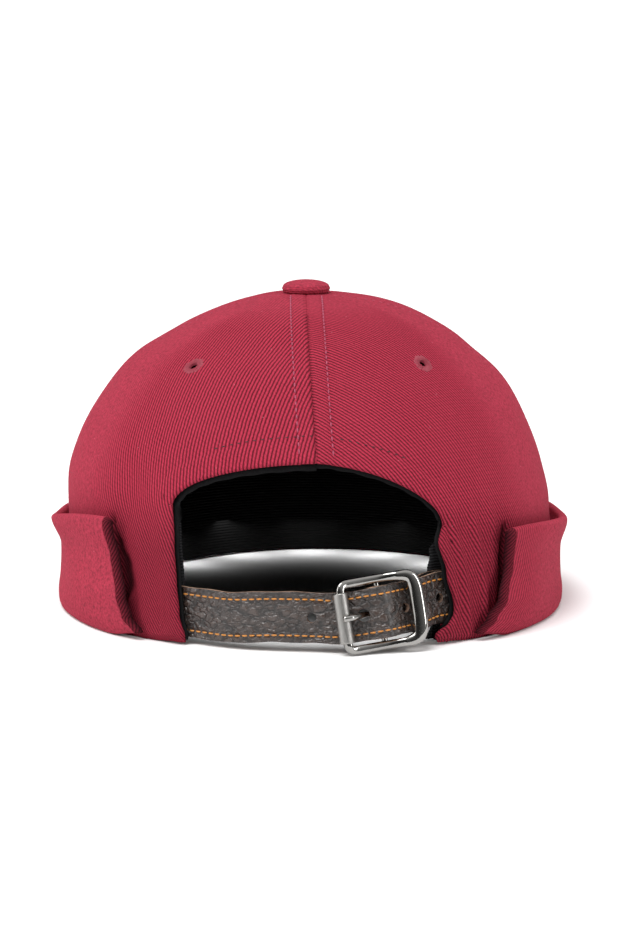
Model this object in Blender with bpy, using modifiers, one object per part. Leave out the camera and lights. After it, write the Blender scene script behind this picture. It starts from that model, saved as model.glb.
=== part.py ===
"""Docker beanie: a brimless twill crown in four panels with a turned-up cuff, an arched opening at
the back and a leather strap with a roller buckle across it.

Metres, +Z up. The cap stands on z = 0 with its back towards -Y. A turn is an angle round the crown
from the centre back, positive towards +X. A level runs down the crown from 0 at the top to 1 at
the hem.
"""

import math
from collections import namedtuple

import bmesh
import bpy
from mathutils import Matrix, Vector

MM = 0.001
DEGREE = math.pi / 180

# Clearance between neighbouring pieces, and between layers that are curved in different steps
GAP = 0.3 * MM
LAYER_GAP = 0.8 * MM

# Crown
CROWN_HALF_WIDTH = 84.9 * MM
CROWN_BACK_LENGTH = 98.0 * MM
CROWN_FRONT_LENGTH = 101.0 * MM
CROWN_SHIFT = -1.3 * MM
CROWN_HEIGHT = 109.5 * MM
WALL_HEIGHT = 35.0 * MM
DOME_ROUNDNESS = 1.94
DOME_LEVEL = 0.78
CLOTH = 1.5 * MM
SEAM_GAP = 0.5 * MM
APEX_HOLE_RADIUS = 3.0 * MM

# Opening at the back
OPENING_HEIGHT = 62.4 * MM
LEFT_HALF_WIDTH = 45.9 * MM
LEFT_ARCH_RISE = 15.4 * MM
LEFT_ARCH_ROUNDNESS = 1.85
RIGHT_HALF_WIDTH = 45.9 * MM
RIGHT_ARCH_RISE = 22.4 * MM
RIGHT_ARCH_ROUNDNESS = 1.55
SEAM_TOP_SIDE = -1.2 * MM
SEAM_FOOT_SIDE = 2.5 * MM

# Cuff
CUFF_HEIGHT = 29.8 * MM
CUFF_THICKNESS = 3.2 * MM
CUFF_FLARE = 2.8 * MM
CUFF_STANDOFF = 3.0 * MM
CUFF_LEFT_END_RISE = 10.9 * MM
CUFF_RIGHT_END_RISE = 7.4 * MM
CUFF_RISE_START = 100.0 * DEGREE
CUFF_STANDOFF_FADE = 4

# Lining and sweatband
LINING_THICKNESS = 0.8 * MM
LINING_SHOW = 0.8 * MM
SWEATBAND_HEIGHT = 36.0 * MM
SWEATBAND_THICKNESS = 1.2 * MM
SWEATBAND_LIFT = 0.6 * MM
SWEATBAND_SHOW = 0.3 * MM
SWEATBAND_EASE = 14.0 * DEGREE

# Button and eyelets
BUTTON_RADIUS = 8.4 * MM
BUTTON_HEIGHT = 3.4 * MM
BUTTON_SIDE_SHARE = 0.35
EYELET_RING_RADIUS = 3.0 * MM
EYELET_THREAD_RADIUS = 1.1 * MM
EYELET_RELIEF = 1.0 * MM
EYELET_SHOULDER_SHARE = 0.7
EYELET_HOLE_RADIUS = 1.6 * MM

# Strap
STRAP_WIDTH = 17.0 * MM
STRAP_THICKNESS = 1.5 * MM
STRAP_TUCK = 6.0 * DEGREE
STRAP_TWIST = 14.0 * MM
STRAP_HOLE_RADIUS = 1.6 * MM
STRAP_HOLE_PITCH = 19.0 * MM
STRAP_HOLES_FROM_PRONG = (-1, 0, 1, 2)
STRAP_BEHIND_BEND = 0.68
PRONG_HOLE_RADIUS = 2.2 * MM
STRAP_LEFT_HEIGHT = 10.8 * MM
STRAP_FRONT_HEIGHT = 11.8 * MM
STRAP_RIGHT_HEIGHT = 15.4 * MM
BUCKLE_STRAP_THICKNESS = 1.2 * MM
BUCKLE_STRAP_RETURN = 2.5 * MM
PRONG_SLOT_LENGTH = 10.0 * MM

# Buckle
BUCKLE_LENGTH = 30.0 * MM
BUCKLE_RAIL_RADIUS = 1.2 * MM
BUCKLE_BEND_RADIUS = 1.8 * MM
BUCKLE_PLAY = 1.6 * MM
BUCKLE_CORNER = 2.6 * MM
BUCKLE_BEND_START = 0.2
BUCKLE_BEND_SQUARENESS = 4.0
BUCKLE_BOW = 1.6 * MM
BAR_RADIUS = 1.0 * MM
BAR_DEPTH = 2.8 * MM
ROLLER_RADIUS = 2.5 * MM
PRONG_RADIUS = 0.75 * MM
PRONG_HOOK_START = -120.0 * DEGREE
BUCKLE_SIDE = 23.7 * MM
BUCKLE_MIDDLE_HEIGHT = 13.9 * MM
BUCKLE_STANDOFF = 1.7 * MM
BUCKLE_ROLL = 6.0 * DEGREE
BUCKLE_PITCH = -10.5 * DEGREE

# How finely each sheet is divided
ARCH_COLUMNS = 8
SIDE_COLUMNS = 6
FRONT_COLUMNS = 9
UPPER_ROWS = 10
LOWER_ROWS = 4
CUFF_COLUMNS = 44
BAND_COLUMNS = 40
BAND_ROWS = 3
BUTTON_ROWS = 5
ROUTE_STEPS = 4
HOLE_SEARCH_STEPS = 40
CORNER_STEPS = 4
BEND_STEPS = 16
LOOP_STEPS = 8
PRONG_STEPS = 6
ROUND_SIDES = 16
TUBE_STEPS = 2

CROWN_MIDDLE = Vector((0.0, 0.0, WALL_HEIGHT))
DENT_FADE = 0.05

LeanRow = namedtuple("LeanRow", "height_share side_share")
LEAN = (
    LeanRow(0.00, 0.005),
    LeanRow(0.20, 0.005),
    LeanRow(0.33, -0.003),
    LeanRow(0.46, -0.014),
    LeanRow(0.56, -0.014),
    LeanRow(0.70, -0.008),
    LeanRow(0.80, -0.007),
    LeanRow(0.88, 0.008),
    LeanRow(0.97, 0.017),
    LeanRow(1.00, -0.014),
)

EdgeRow = namedtuple("EdgeRow", "height_share width_share")
LEFT_EDGE = (
    EdgeRow(0.00, 0.930),
    EdgeRow(0.25, 0.952),
    EdgeRow(0.43, 0.967),
    EdgeRow(0.75, 0.986),
    EdgeRow(1.00, 1.000),
)
RIGHT_EDGE = (
    EdgeRow(0.00, 0.985),
    EdgeRow(0.14, 1.035),
    EdgeRow(0.30, 1.060),
    EdgeRow(0.61, 1.000),
    EdgeRow(0.85, 0.955),
    EdgeRow(1.00, 1.000),
)

DentRow = namedtuple("DentRow", "turn_degrees height_share turn_width height_width depth_share")
DENTS = (
    DentRow(-46.0, 0.44, 7.0, 0.10, -1.6),
    DentRow(-90.0, 0.78, 16.0, 0.07, 0.6),
    DentRow(92.0, 0.74, 16.0, 0.07, 0.6),
    DentRow(33.0, 0.35, 8.0, 0.05, -1.2),
)

CuffRow = namedtuple("CuffRow", "height_share flare_share standoff_share left_degrees right_degrees")
CUFF_FORM = (
    CuffRow(0.00, 0.30, 0.00, 40.5, 39.5),
    CuffRow(0.15, 0.35, 0.40, 43.0, 42.0),
    CuffRow(0.35, 0.20, 1.00, 43.8, 44.7),
    CuffRow(0.70, 0.20, 0.60, 46.4, 47.5),
    CuffRow(1.00, 1.00, 0.35, 48.0, 47.4),
)

StrapRow = namedtuple("StrapRow", "edge_share height depth_share")
STRAP_FRONT = (
    StrapRow(0.6, STRAP_LEFT_HEIGHT, 0.7),
    StrapRow(0.3, STRAP_FRONT_HEIGHT, 0.6),
    StrapRow(0.0, STRAP_FRONT_HEIGHT, 0.6),
)

EyeletRow = namedtuple("EyeletRow", "place turn_degrees height_share")
EYELETS = (
    EyeletRow("back_left", -42.8, 0.817),
    EyeletRow("back_right", 43.7, 0.824),
    EyeletRow("front_left", -140.0, 0.820),
    EyeletRow("front_right", 140.0, 0.820),
)

SectionRow = namedtuple("SectionRow", "height_share wall_share")
CUFF_SECTION = (
    SectionRow(0.00, 0.00),
    SectionRow(0.25, 0.00),
    SectionRow(0.50, 0.00),
    SectionRow(0.75, 0.00),
    SectionRow(0.97, 0.00),
    SectionRow(1.00, 0.30),
    SectionRow(1.00, 0.70),
    SectionRow(0.97, 1.00),
    SectionRow(0.75, 1.00),
    SectionRow(0.50, 1.00),
    SectionRow(0.25, 1.00),
    SectionRow(0.05, 1.00),
    SectionRow(0.00, 0.70),
)

Side = namedtuple("Side", "sign half_width arch_rise roundness edge")
LEFT = Side(-1, LEFT_HALF_WIDTH, LEFT_ARCH_RISE, LEFT_ARCH_ROUNDNESS, LEFT_EDGE)
RIGHT = Side(1, RIGHT_HALF_WIDTH, RIGHT_ARCH_RISE, RIGHT_ARCH_ROUNDNESS, RIGHT_EDGE)

Finish = namedtuple("Finish", "colour roughness metallic")
TWILL = Finish((0.42, 0.045, 0.075), 0.85, 0.0)
BLACK_CLOTH = Finish((0.006, 0.006, 0.007), 0.95, 0.0)
LEATHER = Finish((0.062, 0.045, 0.040), 0.45, 0.0)
POLISHED_METAL = Finish((0.55, 0.54, 0.53), 0.15, 1.0)
SATIN_METAL = Finish((0.42, 0.42, 0.41), 0.40, 1.0)


def eased(share):
    """Smooth step from 0 to 1."""
    share = min(max(share, 0.0), 1.0)
    return share * share * (3 - 2 * share)


def read_table(rows, column, share):
    """Value of a column at a height share, eased between the rows."""
    for low, high in zip(rows, rows[1:]):
        if share <= high.height_share:
            step = eased((share - low.height_share) / (high.height_share - low.height_share))
            return getattr(low, column) * (1 - step) + getattr(high, column) * step
    return getattr(rows[-1], column)


def crown_profile(level):
    """Share of the crown's half width, and the height, at a level."""
    if level < DOME_LEVEL:
        fall = level / DOME_LEVEL * math.pi / 2
        rise = math.cos(fall) ** (2 / DOME_ROUNDNESS)
        return math.sin(fall), WALL_HEIGHT + (CROWN_HEIGHT - WALL_HEIGHT) * rise
    return 1.0, WALL_HEIGHT * (1 - level) / (1 - DOME_LEVEL)


def level_at(height):
    """Level of the crown's face at a height."""
    if height < WALL_HEIGHT:
        return 1 - (1 - DOME_LEVEL) * height / WALL_HEIGHT
    rise = (height - WALL_HEIGHT) / (CROWN_HEIGHT - WALL_HEIGHT)
    return DOME_LEVEL * math.acos(rise ** (DOME_ROUNDNESS / 2)) / (math.pi / 2)


def smooth_face(turn, level):
    """Point on the crown's outer face before its dents."""
    reach, height = crown_profile(level)
    lean = CROWN_HALF_WIDTH * read_table(LEAN, "side_share", height / CROWN_HEIGHT)
    length = CROWN_BACK_LENGTH if math.cos(turn) > 0 else CROWN_FRONT_LENGTH
    across = lean + reach * CROWN_HALF_WIDTH * math.sin(turn)
    along = CROWN_SHIFT - reach * length * math.cos(turn)
    return Vector((across, along, height))


def dent_depth(turn, height):
    """How far the crown's face is pushed out, in cloth thicknesses, by its dents."""
    depth = 0.0
    for dent in DENTS:
        aside = math.remainder(turn - dent.turn_degrees * DEGREE, 2 * math.pi)
        aside /= dent.turn_width * DEGREE
        above = (height / CROWN_HEIGHT - dent.height_share) / dent.height_width
        depth += dent.depth_share * math.exp(-aside * aside - above * above)
    return depth * CLOTH


def crown_point(turn, level, outward=0.0):
    """Point a distance outside the crown's outer face."""
    step = 0.001
    level = max(level, step)
    point = smooth_face(turn, level)
    round_way = smooth_face(turn + step, level) - smooth_face(turn - step, level)
    down_way = point - smooth_face(turn, level - step)
    normal = down_way.cross(round_way).normalized()
    reach = outward + dent_depth(turn, point.z) * eased(point.z / (DENT_FADE * CROWN_HEIGHT))
    return point + normal * reach


def turn_at(side, across, level):
    """Turn at which the crown's face stands that far to one side of the middle."""
    low, high = 0.0, math.pi / 2
    for _ in range(30):
        middle = (low + high) / 2
        if side.sign * smooth_face(side.sign * middle, level).x < across:
            low = middle
        else:
            high = middle
    return side.sign * low


def opening_edge(side, height, inset=0.0):
    """Turn of the opening's upright edge at a height under the arch."""
    spring = OPENING_HEIGHT - side.arch_rise
    across = side.half_width * read_table(side.edge, "width_share", height / spring)
    return turn_at(side, across - inset, level_at(height))


def middle_seam_turn(level, foot_side, foot_height):
    """Turn away from the middle of a seam that slants a little from the top to its foot."""
    reach, height = crown_profile(level)
    down = min((CROWN_HEIGHT - height) / (CROWN_HEIGHT - foot_height), 1.0)
    across = SEAM_TOP_SIDE + (foot_side - SEAM_TOP_SIDE) * down
    across -= CROWN_HALF_WIDTH * read_table(LEAN, "side_share", height / CROWN_HEIGHT)
    return math.asin(across / max(reach * CROWN_HALF_WIDTH, 2 * abs(across), MM))


def back_seam_turn(level):
    """Turn of the centre back seam."""
    return middle_seam_turn(level, SEAM_FOOT_SIDE, OPENING_HEIGHT)


def arch_point(side, column, inset=0.0):
    """Turn and level of the arch's edge at one of its columns, from the seam to the corner."""
    swing = column / ARCH_COLUMNS * math.pi / 2
    power = 2 / side.roundness
    spring = OPENING_HEIGHT - side.arch_rise
    height = spring + (side.arch_rise - inset) * max(math.cos(swing), 0.0) ** power
    level = level_at(height)
    seam = back_seam_turn(level)
    corner = turn_at(side, side.half_width - inset, level)
    return seam + (corner - seam) * math.sin(swing) ** power, level


def sheet(name, columns, rows, place, keep=lambda column, row: True):
    """An open surface of columns by rows, whose corners go where place puts them."""
    grid = bmesh.new()
    bmesh.ops.create_grid(grid, x_segments=columns, y_segments=rows, size=0.5)
    spare = []
    for face in grid.faces:
        middle = face.calc_center_median()
        if not keep(int((middle.x + 0.5) * columns), int((0.5 - middle.y) * rows)):
            spare.append(face)
    bmesh.ops.delete(grid, geom=spare, context="FACES")
    for corner in grid.verts:
        column = round((corner.co.x + 0.5) * columns)
        row = round((0.5 - corner.co.y) * rows)
        corner.co = place(column, row)
    mesh = bpy.data.meshes.new(name)
    grid.to_mesh(mesh)
    grid.free()
    return mesh


def joined_sheet(name, sheets):
    """One surface made of sheets that share their edges."""
    whole = bmesh.new()
    for mesh in sheets:
        whole.from_mesh(mesh)
        bpy.data.meshes.remove(mesh)
    bmesh.ops.remove_doubles(whole, verts=whole.verts, dist=0.01 * MM)
    bmesh.ops.recalc_face_normals(whole, faces=whole.faces)
    mesh = bpy.data.meshes.new(name)
    whole.to_mesh(mesh)
    whole.free()
    return mesh


def face_away(mesh, middle):
    """Turn a sheet's faces so that they look away from the middle."""
    form = bmesh.new()
    form.from_mesh(mesh)
    leaning = sum(face.normal.dot(face.calc_center_median() - middle) for face in form.faces)
    if leaning < 0:
        bmesh.ops.reverse_faces(form, faces=form.faces)
    form.to_mesh(mesh)
    form.free()


def finish_material(name, finish):
    """A material with one colour, roughness and metallic value."""
    material = bpy.data.materials.new(name)
    material.use_nodes = True
    shader = material.node_tree.nodes["Principled BSDF"]
    shader.inputs["Base Color"].default_value = (*finish.colour, 1.0)
    shader.inputs["Roughness"].default_value = finish.roughness
    shader.inputs["Metallic"].default_value = finish.metallic
    return material


def add_part(name, data, finish):
    """An object in the beanie's collection, smooth shaded apart from its edges."""
    part = bpy.data.objects.new(name, data)
    beanie.objects.link(part)
    data.materials.append(finish_material(name, finish))
    if part.type == "MESH":
        data.shade_smooth()
        data.set_sharp_from_angle(angle=40 * DEGREE)
    part.parent = cap
    return part


def thicken(part, thickness, outward):
    """Give a sheet its thickness, on the side its faces look to or behind them."""
    wall = part.modifiers.new("wall", "SOLIDIFY")
    wall.thickness = thickness
    wall.offset = 1.0 if outward else -1.0
    wall.use_even_offset = True


def add_cutter(name, mesh, place):
    """A cutter at its place, kept out of sight."""
    cutter = bpy.data.objects.new(name, mesh)
    cutters.objects.link(cutter)
    cutter.matrix_world = place
    cutter.hide_render = True
    cutter.display_type = "WIRE"
    return cutter


def cut(part, cutter):
    """Take the cutter's shape out of a part."""
    hole = part.modifiers.new(cutter.name, "BOOLEAN")
    hole.operation = "DIFFERENCE"
    hole.object = cutter


def round_cutter(name, radius, length, place):
    """A round bar along its own Z."""
    mesh = bpy.data.meshes.new(name)
    form = bmesh.new()
    bmesh.ops.create_cone(
        form, cap_ends=True, segments=ROUND_SIDES, radius1=radius, radius2=radius, depth=length
    )
    form.to_mesh(mesh)
    form.free()
    return add_cutter(name, mesh, place)


def placed(point, outward, upward):
    """Frame at a point with Z outward and Y as near upward as it can be."""
    z_way = outward.normalized()
    x_way = upward.cross(z_way).normalized()
    frame = Matrix((x_way, z_way.cross(x_way), z_way)).transposed().to_4x4()
    frame.translation = point
    return frame


def crown_outward(turn, level):
    """Outward direction of the crown's face."""
    return (crown_point(turn, level, MM) - crown_point(turn, level)).normalized()


def back_sheet(name, side, seam_gap, top_level, inset, outward):
    """Half of the crown's back with half of the opening cut out of its lower edge."""
    columns = ARCH_COLUMNS + SIDE_COLUMNS
    corner_level = level_at(OPENING_HEIGHT - side.arch_rise)

    def place(column, row):
        down = min(row / UPPER_ROWS, 1.0)
        below = max(row - UPPER_ROWS, 0) / LOWER_ROWS
        if column <= ARCH_COLUMNS:
            turn_below, low_level = arch_point(side, column, inset)
            above = column / ARCH_COLUMNS
        else:
            low_level = corner_level
            above = 1.0
        level = top_level + (low_level - top_level) * down + (1 - corner_level) * below
        reach = max(crown_profile(level)[0] * CROWN_HALF_WIDTH, MM)
        seam_turn = back_seam_turn(level) + side.sign * seam_gap / 2 / reach
        side_turn = side.sign * (math.pi / 2 - seam_gap / 2 / reach)
        edge_turn = opening_edge(side, crown_profile(max(level, corner_level))[1], inset)
        if column > ARCH_COLUMNS or below > 0:
            share = (column - ARCH_COLUMNS) / SIDE_COLUMNS
            turn = edge_turn + (side_turn - edge_turn) * share
        else:
            corner_turn = opening_edge(side, crown_profile(corner_level)[1], inset)
            straight = seam_turn + (corner_turn - seam_turn) * above
            turn = straight + (turn_below - straight) * down * down
            if column == 0:
                turn = seam_turn
        return crown_point(turn, level, outward)

    def keep(column, row):
        return column >= ARCH_COLUMNS or row < UPPER_ROWS

    return sheet(name, columns, UPPER_ROWS + LOWER_ROWS, place, keep)


def front_sheet(name, side, seam_gap, top_level, outward):
    """Half of the crown's front, from the side seam to the centre front."""
    def place(column, row):
        down = min(row / UPPER_ROWS, 1.0)
        below = max(row - UPPER_ROWS, 0) / LOWER_ROWS
        forward = column / FRONT_COLUMNS
        rise = side.arch_rise * (1 - forward) + (LEFT_ARCH_RISE + RIGHT_ARCH_RISE) / 2 * forward
        corner_level = level_at(OPENING_HEIGHT - rise)
        level = top_level + (corner_level - top_level) * down + (1 - corner_level) * below
        reach = max(crown_profile(level)[0] * CROWN_HALF_WIDTH, MM)
        margin = seam_gap / 2 / reach
        first = math.pi / 2 + margin
        last = math.pi - margin - side.sign * middle_seam_turn(level, 0.0, 0.0)
        turn = side.sign * (first + (last - first) * forward)
        return crown_point(turn, level, outward)

    return sheet(name, FRONT_COLUMNS, UPPER_ROWS + LOWER_ROWS, place)


def level_at_reach(radius):
    """Level at which the crown's top has that radius."""
    return DOME_LEVEL * math.asin(radius / CROWN_HALF_WIDTH) / (math.pi / 2)


def build_panels():
    """Four twill panels, with a small gap along each seam and a vent hole in each."""
    top_level = level_at_reach(APEX_HOLE_RADIUS)
    panels = {
        "back_left": back_sheet("panel", LEFT, SEAM_GAP, top_level, 0.0, 0.0),
        "back_right": back_sheet("panel", RIGHT, SEAM_GAP, top_level, 0.0, 0.0),
        "front_left": front_sheet("panel", LEFT, SEAM_GAP, top_level, 0.0),
        "front_right": front_sheet("panel", RIGHT, SEAM_GAP, top_level, 0.0),
    }
    for eyelet in EYELETS:
        mesh = panels[eyelet.place]
        face_away(mesh, CROWN_MIDDLE)
        panel = add_part(eyelet.place + "_panel", mesh, TWILL)
        thicken(panel, CLOTH, outward=False)
        turn = eyelet.turn_degrees * DEGREE
        level = level_at(eyelet.height_share * CROWN_HEIGHT)
        seat = placed(crown_point(turn, level), crown_outward(turn, level), Vector((0, 0, 1)))
        cut(panel, round_cutter("vent_" + eyelet.place, EYELET_HOLE_RADIUS, 4 * CLOTH, seat))
        build_eyelet("eyelet_" + eyelet.place, seat)


def build_eyelet(name, seat):
    """A stitched ring that lies on the cloth round a vent hole."""
    inner = EYELET_RING_RADIUS - EYELET_THREAD_RADIUS
    outer = EYELET_RING_RADIUS + EYELET_THREAD_RADIUS
    slope = EYELET_THREAD_RADIUS / 4
    crest = (EYELET_RING_RADIUS, EYELET_RELIEF)
    shoulder = EYELET_RELIEF * EYELET_SHOULDER_SHARE
    profile = [
        crest, (outer - slope, shoulder), (outer, 0.0),
        (inner, 0.0), (inner + slope, shoulder), crest,
    ]
    turned(name, profile, TWILL, seat @ Matrix.Translation((0, 0, GAP)), ROUND_SIDES)


def build_lining():
    """One black inner cap that shows as a thin line along the opening."""
    outward = -(CLOTH + LAYER_GAP)
    halves = []
    for side in (LEFT, RIGHT):
        halves.append(back_sheet("lining", side, 0.0, 0.0, LINING_SHOW, outward))
        halves.append(front_sheet("lining", side, 0.0, 0.0, outward))
    mesh = joined_sheet("lining", halves)
    face_away(mesh, CROWN_MIDDLE)
    lining = add_part("lining", mesh, BLACK_CLOTH)
    thicken(lining, LINING_THICKNESS, outward=False)


def inside_lining():
    """Depth inside the crown's face that is clear of the lining."""
    return CLOTH + LAYER_GAP + LINING_THICKNESS + LAYER_GAP


def tuck_depth(side):
    """How far inside the crown's face the sweatband runs where it covers the strap's tail."""
    depth = inside_lining() + STRAP_THICKNESS + LAYER_GAP
    if side is RIGHT:
        depth += BUCKLE_STRAP_THICKNESS + 2 * LAYER_GAP
    return depth


def build_sweatband():
    """A ribbed band inside the hem, pushed in where it covers the strap's tails."""
    plain_depth = inside_lining()

    def place(column, row):
        height = SWEATBAND_LIFT + (SWEATBAND_HEIGHT - SWEATBAND_LIFT) * (1 - row / BAND_ROWS)
        first = opening_edge(RIGHT, height, SWEATBAND_SHOW)
        last = 2 * math.pi + opening_edge(LEFT, height, SWEATBAND_SHOW)
        turn = first + (last - first) * column / BAND_COLUMNS
        depth = plain_depth
        for side, end in ((RIGHT, first), (LEFT, last)):
            past = (abs(turn - end) - 2 * STRAP_TUCK) / SWEATBAND_EASE
            depth += (tuck_depth(side) - plain_depth) * (1 - eased(past))
        return crown_point(turn, level_at(height), -depth)

    mesh = sheet("sweatband", BAND_COLUMNS, BAND_ROWS, place)
    face_away(mesh, CROWN_MIDDLE)
    band = add_part("sweatband", mesh, BLACK_CLOTH)
    thicken(band, SWEATBAND_THICKNESS, outward=False)


def build_cuff():
    """The double band turned up round the hem, flared at its rim, higher towards its ends."""
    end_rises = {RIGHT: CUFF_RIGHT_END_RISE, LEFT: CUFF_LEFT_END_RISE}
    top_end = CUFF_FORM[-1].right_degrees * DEGREE

    def place(column, row):
        round_it = CUFF_SECTION[row % len(CUFF_SECTION)]
        share = round_it.height_share
        first = read_table(CUFF_FORM, "right_degrees", share) * DEGREE
        last = 2 * math.pi - read_table(CUFF_FORM, "left_degrees", share) * DEGREE
        turn = first + (last - first) * column / CUFF_COLUMNS
        rim = CUFF_HEIGHT
        outward = GAP + CUFF_FLARE * read_table(CUFF_FORM, "flare_share", share)
        for side, aside in ((RIGHT, turn), (LEFT, 2 * math.pi - turn)):
            near = 1 - eased((aside - top_end) / (CUFF_RISE_START - top_end))
            rim += end_rises[side] * near
            standoff = read_table(CUFF_FORM, "standoff_share", share)
            outward += CUFF_STANDOFF * standoff * near ** CUFF_STANDOFF_FADE
        outward += CUFF_THICKNESS * round_it.wall_share
        return crown_point(turn, level_at(share * rim), outward)

    mesh = joined_sheet("cuff", [sheet("cuff", CUFF_COLUMNS, len(CUFF_SECTION), place)])
    form = bmesh.new()
    form.from_mesh(mesh)
    bmesh.ops.holes_fill(form, edges=[edge for edge in form.edges if edge.is_boundary])
    bmesh.ops.recalc_face_normals(form, faces=form.faces)
    form.to_mesh(mesh)
    form.free()
    add_part("cuff", mesh, TWILL)


def turned(name, profile, finish, place, sides=2 * ROUND_SIDES):
    """A part turned round its own Z from a profile of radius and height."""
    mesh = bpy.data.meshes.new(name)
    edges = [(index, index + 1) for index in range(len(profile) - 1)]
    mesh.from_pydata([(radius, 0.0, height) for radius, height in profile], edges, [])
    part = add_part(name, mesh, finish)
    turning = part.modifiers.new("turning", "SCREW")
    turning.steps = sides
    turning.render_steps = sides
    turning.use_merge_vertices = True
    turning.merge_threshold = 0.01 * MM
    turning.use_smooth_shade = True
    part.matrix_local = place
    return part


def build_button():
    """A cloth covered button over the place where the panels meet."""
    profile = []
    for row in range(BUTTON_ROWS + 1):
        fall = row / BUTTON_ROWS * math.pi / 2
        height = BUTTON_HEIGHT * (BUTTON_SIDE_SHARE + (1 - BUTTON_SIDE_SHARE) * math.cos(fall))
        profile.append((BUTTON_RADIUS * math.sin(fall), height))
    profile.append((BUTTON_RADIUS - GAP, 0.0))
    profile.append((0.0, 0.0))
    top = crown_point(0.0, 0.0)
    turned("top_button", profile, TWILL, Matrix.Translation((top.x, top.y, top.z + GAP)))


def buckle_frame_place():
    """Frame of the buckle: X along the strap, Y across it, Z out from the head."""
    level = level_at(BUCKLE_MIDDLE_HEIGHT)
    turn = turn_at(RIGHT, BUCKLE_SIDE, level)
    outward = crown_outward(turn, level)
    outward.z = 0.0
    place = placed(crown_point(turn, level, BUCKLE_STANDOFF), outward, Vector((0, 0, 1)))
    tilt = Matrix.Rotation(BUCKLE_ROLL, 4, "Z") @ Matrix.Rotation(BUCKLE_PITCH, 4, "X")
    return place @ tilt


def smooth_route(stations, steps):
    """Points on a smooth curve through the stations, the same number between each pair."""
    route = []
    for index in range(len(stations) - 1):
        before = stations[max(index - 1, 0)]
        start = stations[index]
        end = stations[index + 1]
        after = stations[min(index + 2, len(stations) - 1)]
        for step in range(steps):
            t = step / steps
            route.append(0.5 * (
                2 * start + (end - before) * t
                + (2 * before - 5 * start + 4 * end - after) * t * t
                + (3 * start - before - 3 * end + after) * t ** 3
            ))
    route.append(stations[-1])
    return route


def on_crown(turn, height, outward):
    """Station of a strap's route that follows the crown."""
    return crown_point(turn, level_at(height), outward)


def strap_stations(buckle):
    """Stations of the strap's outer face, up to the buckle's bar and on to its right tail."""
    left_edge = opening_edge(LEFT, STRAP_LEFT_HEIGHT)
    right_edge = opening_edge(RIGHT, STRAP_RIGHT_HEIGHT)
    depth = inside_lining()
    over_bar = hook_reach() + 3 * GAP + STRAP_THICKNESS
    left_tail = [
        on_crown(left_edge - STRAP_TUCK, STRAP_LEFT_HEIGHT, -depth),
        on_crown(left_edge - STRAP_TUCK / 4, STRAP_LEFT_HEIGHT, -depth),
        on_crown(left_edge + STRAP_TUCK / 2, STRAP_LEFT_HEIGHT, -depth),
    ]
    front = [
        on_crown(left_edge * row.edge_share, row.height, -depth * row.depth_share)
        for row in STRAP_FRONT
    ]
    through = [
        buckle @ Vector((roller_x(), 0.0, -(ROLLER_RADIUS + 2 * GAP))),
        buckle @ Vector((0.0, 0.0, over_bar)),
    ]
    right_tail = [
        buckle @ Vector((STRAP_BEHIND_BEND * bend_x(), 0.0, -(BUCKLE_BEND_RADIUS + 2 * GAP))),
        buckle @ Vector((bend_x(), 0.0, -(BUCKLE_BEND_RADIUS + 3 * GAP))),
        on_crown(right_edge - STRAP_TUCK / 2, STRAP_RIGHT_HEIGHT, -depth),
        on_crown(right_edge + STRAP_TUCK / 4, STRAP_RIGHT_HEIGHT, -depth),
        on_crown(right_edge + STRAP_TUCK, STRAP_RIGHT_HEIGHT, -depth),
    ]
    return left_tail + front + through, right_tail


def hook_reach():
    """How far out from the buckle's plane the prong's hook reaches round the bar."""
    return BAR_RADIUS + GAP + 2 * PRONG_RADIUS - BAR_DEPTH


def roller_x():
    """Place of the end bar and its roller along the buckle."""
    return BUCKLE_RAIL_RADIUS - BUCKLE_LENGTH / 2


def bend_x():
    """Place of the middle of the bent end along the buckle."""
    return BUCKLE_LENGTH / 2 - BUCKLE_BEND_RADIUS


def rail_y():
    """Distance of each rail's middle line from the buckle's middle."""
    return STRAP_WIDTH / 2 + BUCKLE_PLAY + BUCKLE_RAIL_RADIUS


def route_frame(route, index, buckle):
    """Frame on a band's outer face at a point of its route: Y across it, Z outward."""
    along = route[min(index + 1, len(route) - 1)] - route[max(index - 1, 0)]
    past = abs((buckle.inverted() @ route[index]).x) - BUCKLE_LENGTH / 2
    tilted = buckle.to_3x3() @ Vector((0, 1, 0))
    upward = tilted.lerp(Vector((0, 0, 1)), eased(past / STRAP_TWIST))
    return placed(route[index], along.cross(upward), upward)


def band_along(name, route, width, rows, buckle):
    """A flat band whose outer face runs along the route."""
    columns = len(route) - 1

    def place(column, row):
        return route_frame(route, column, buckle) @ Vector((0, width * (0.5 - row / rows), 0))

    return sheet(name, columns, rows, place)


def nearest_step(route, point):
    """Index of the route's point that lies nearest to a point."""
    return min(range(len(route)), key=lambda index: (route[index] - point).length)


def walked_index(route, start, distance):
    """Index of the point that lies a distance along the route from a start."""
    step = 1 if distance > 0 else -1
    index = start
    left = abs(distance)
    while left > 0 and 1 < index < len(route) - 2:
        left -= (route[index + step] - route[index]).length
        index += step
    return index


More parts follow.
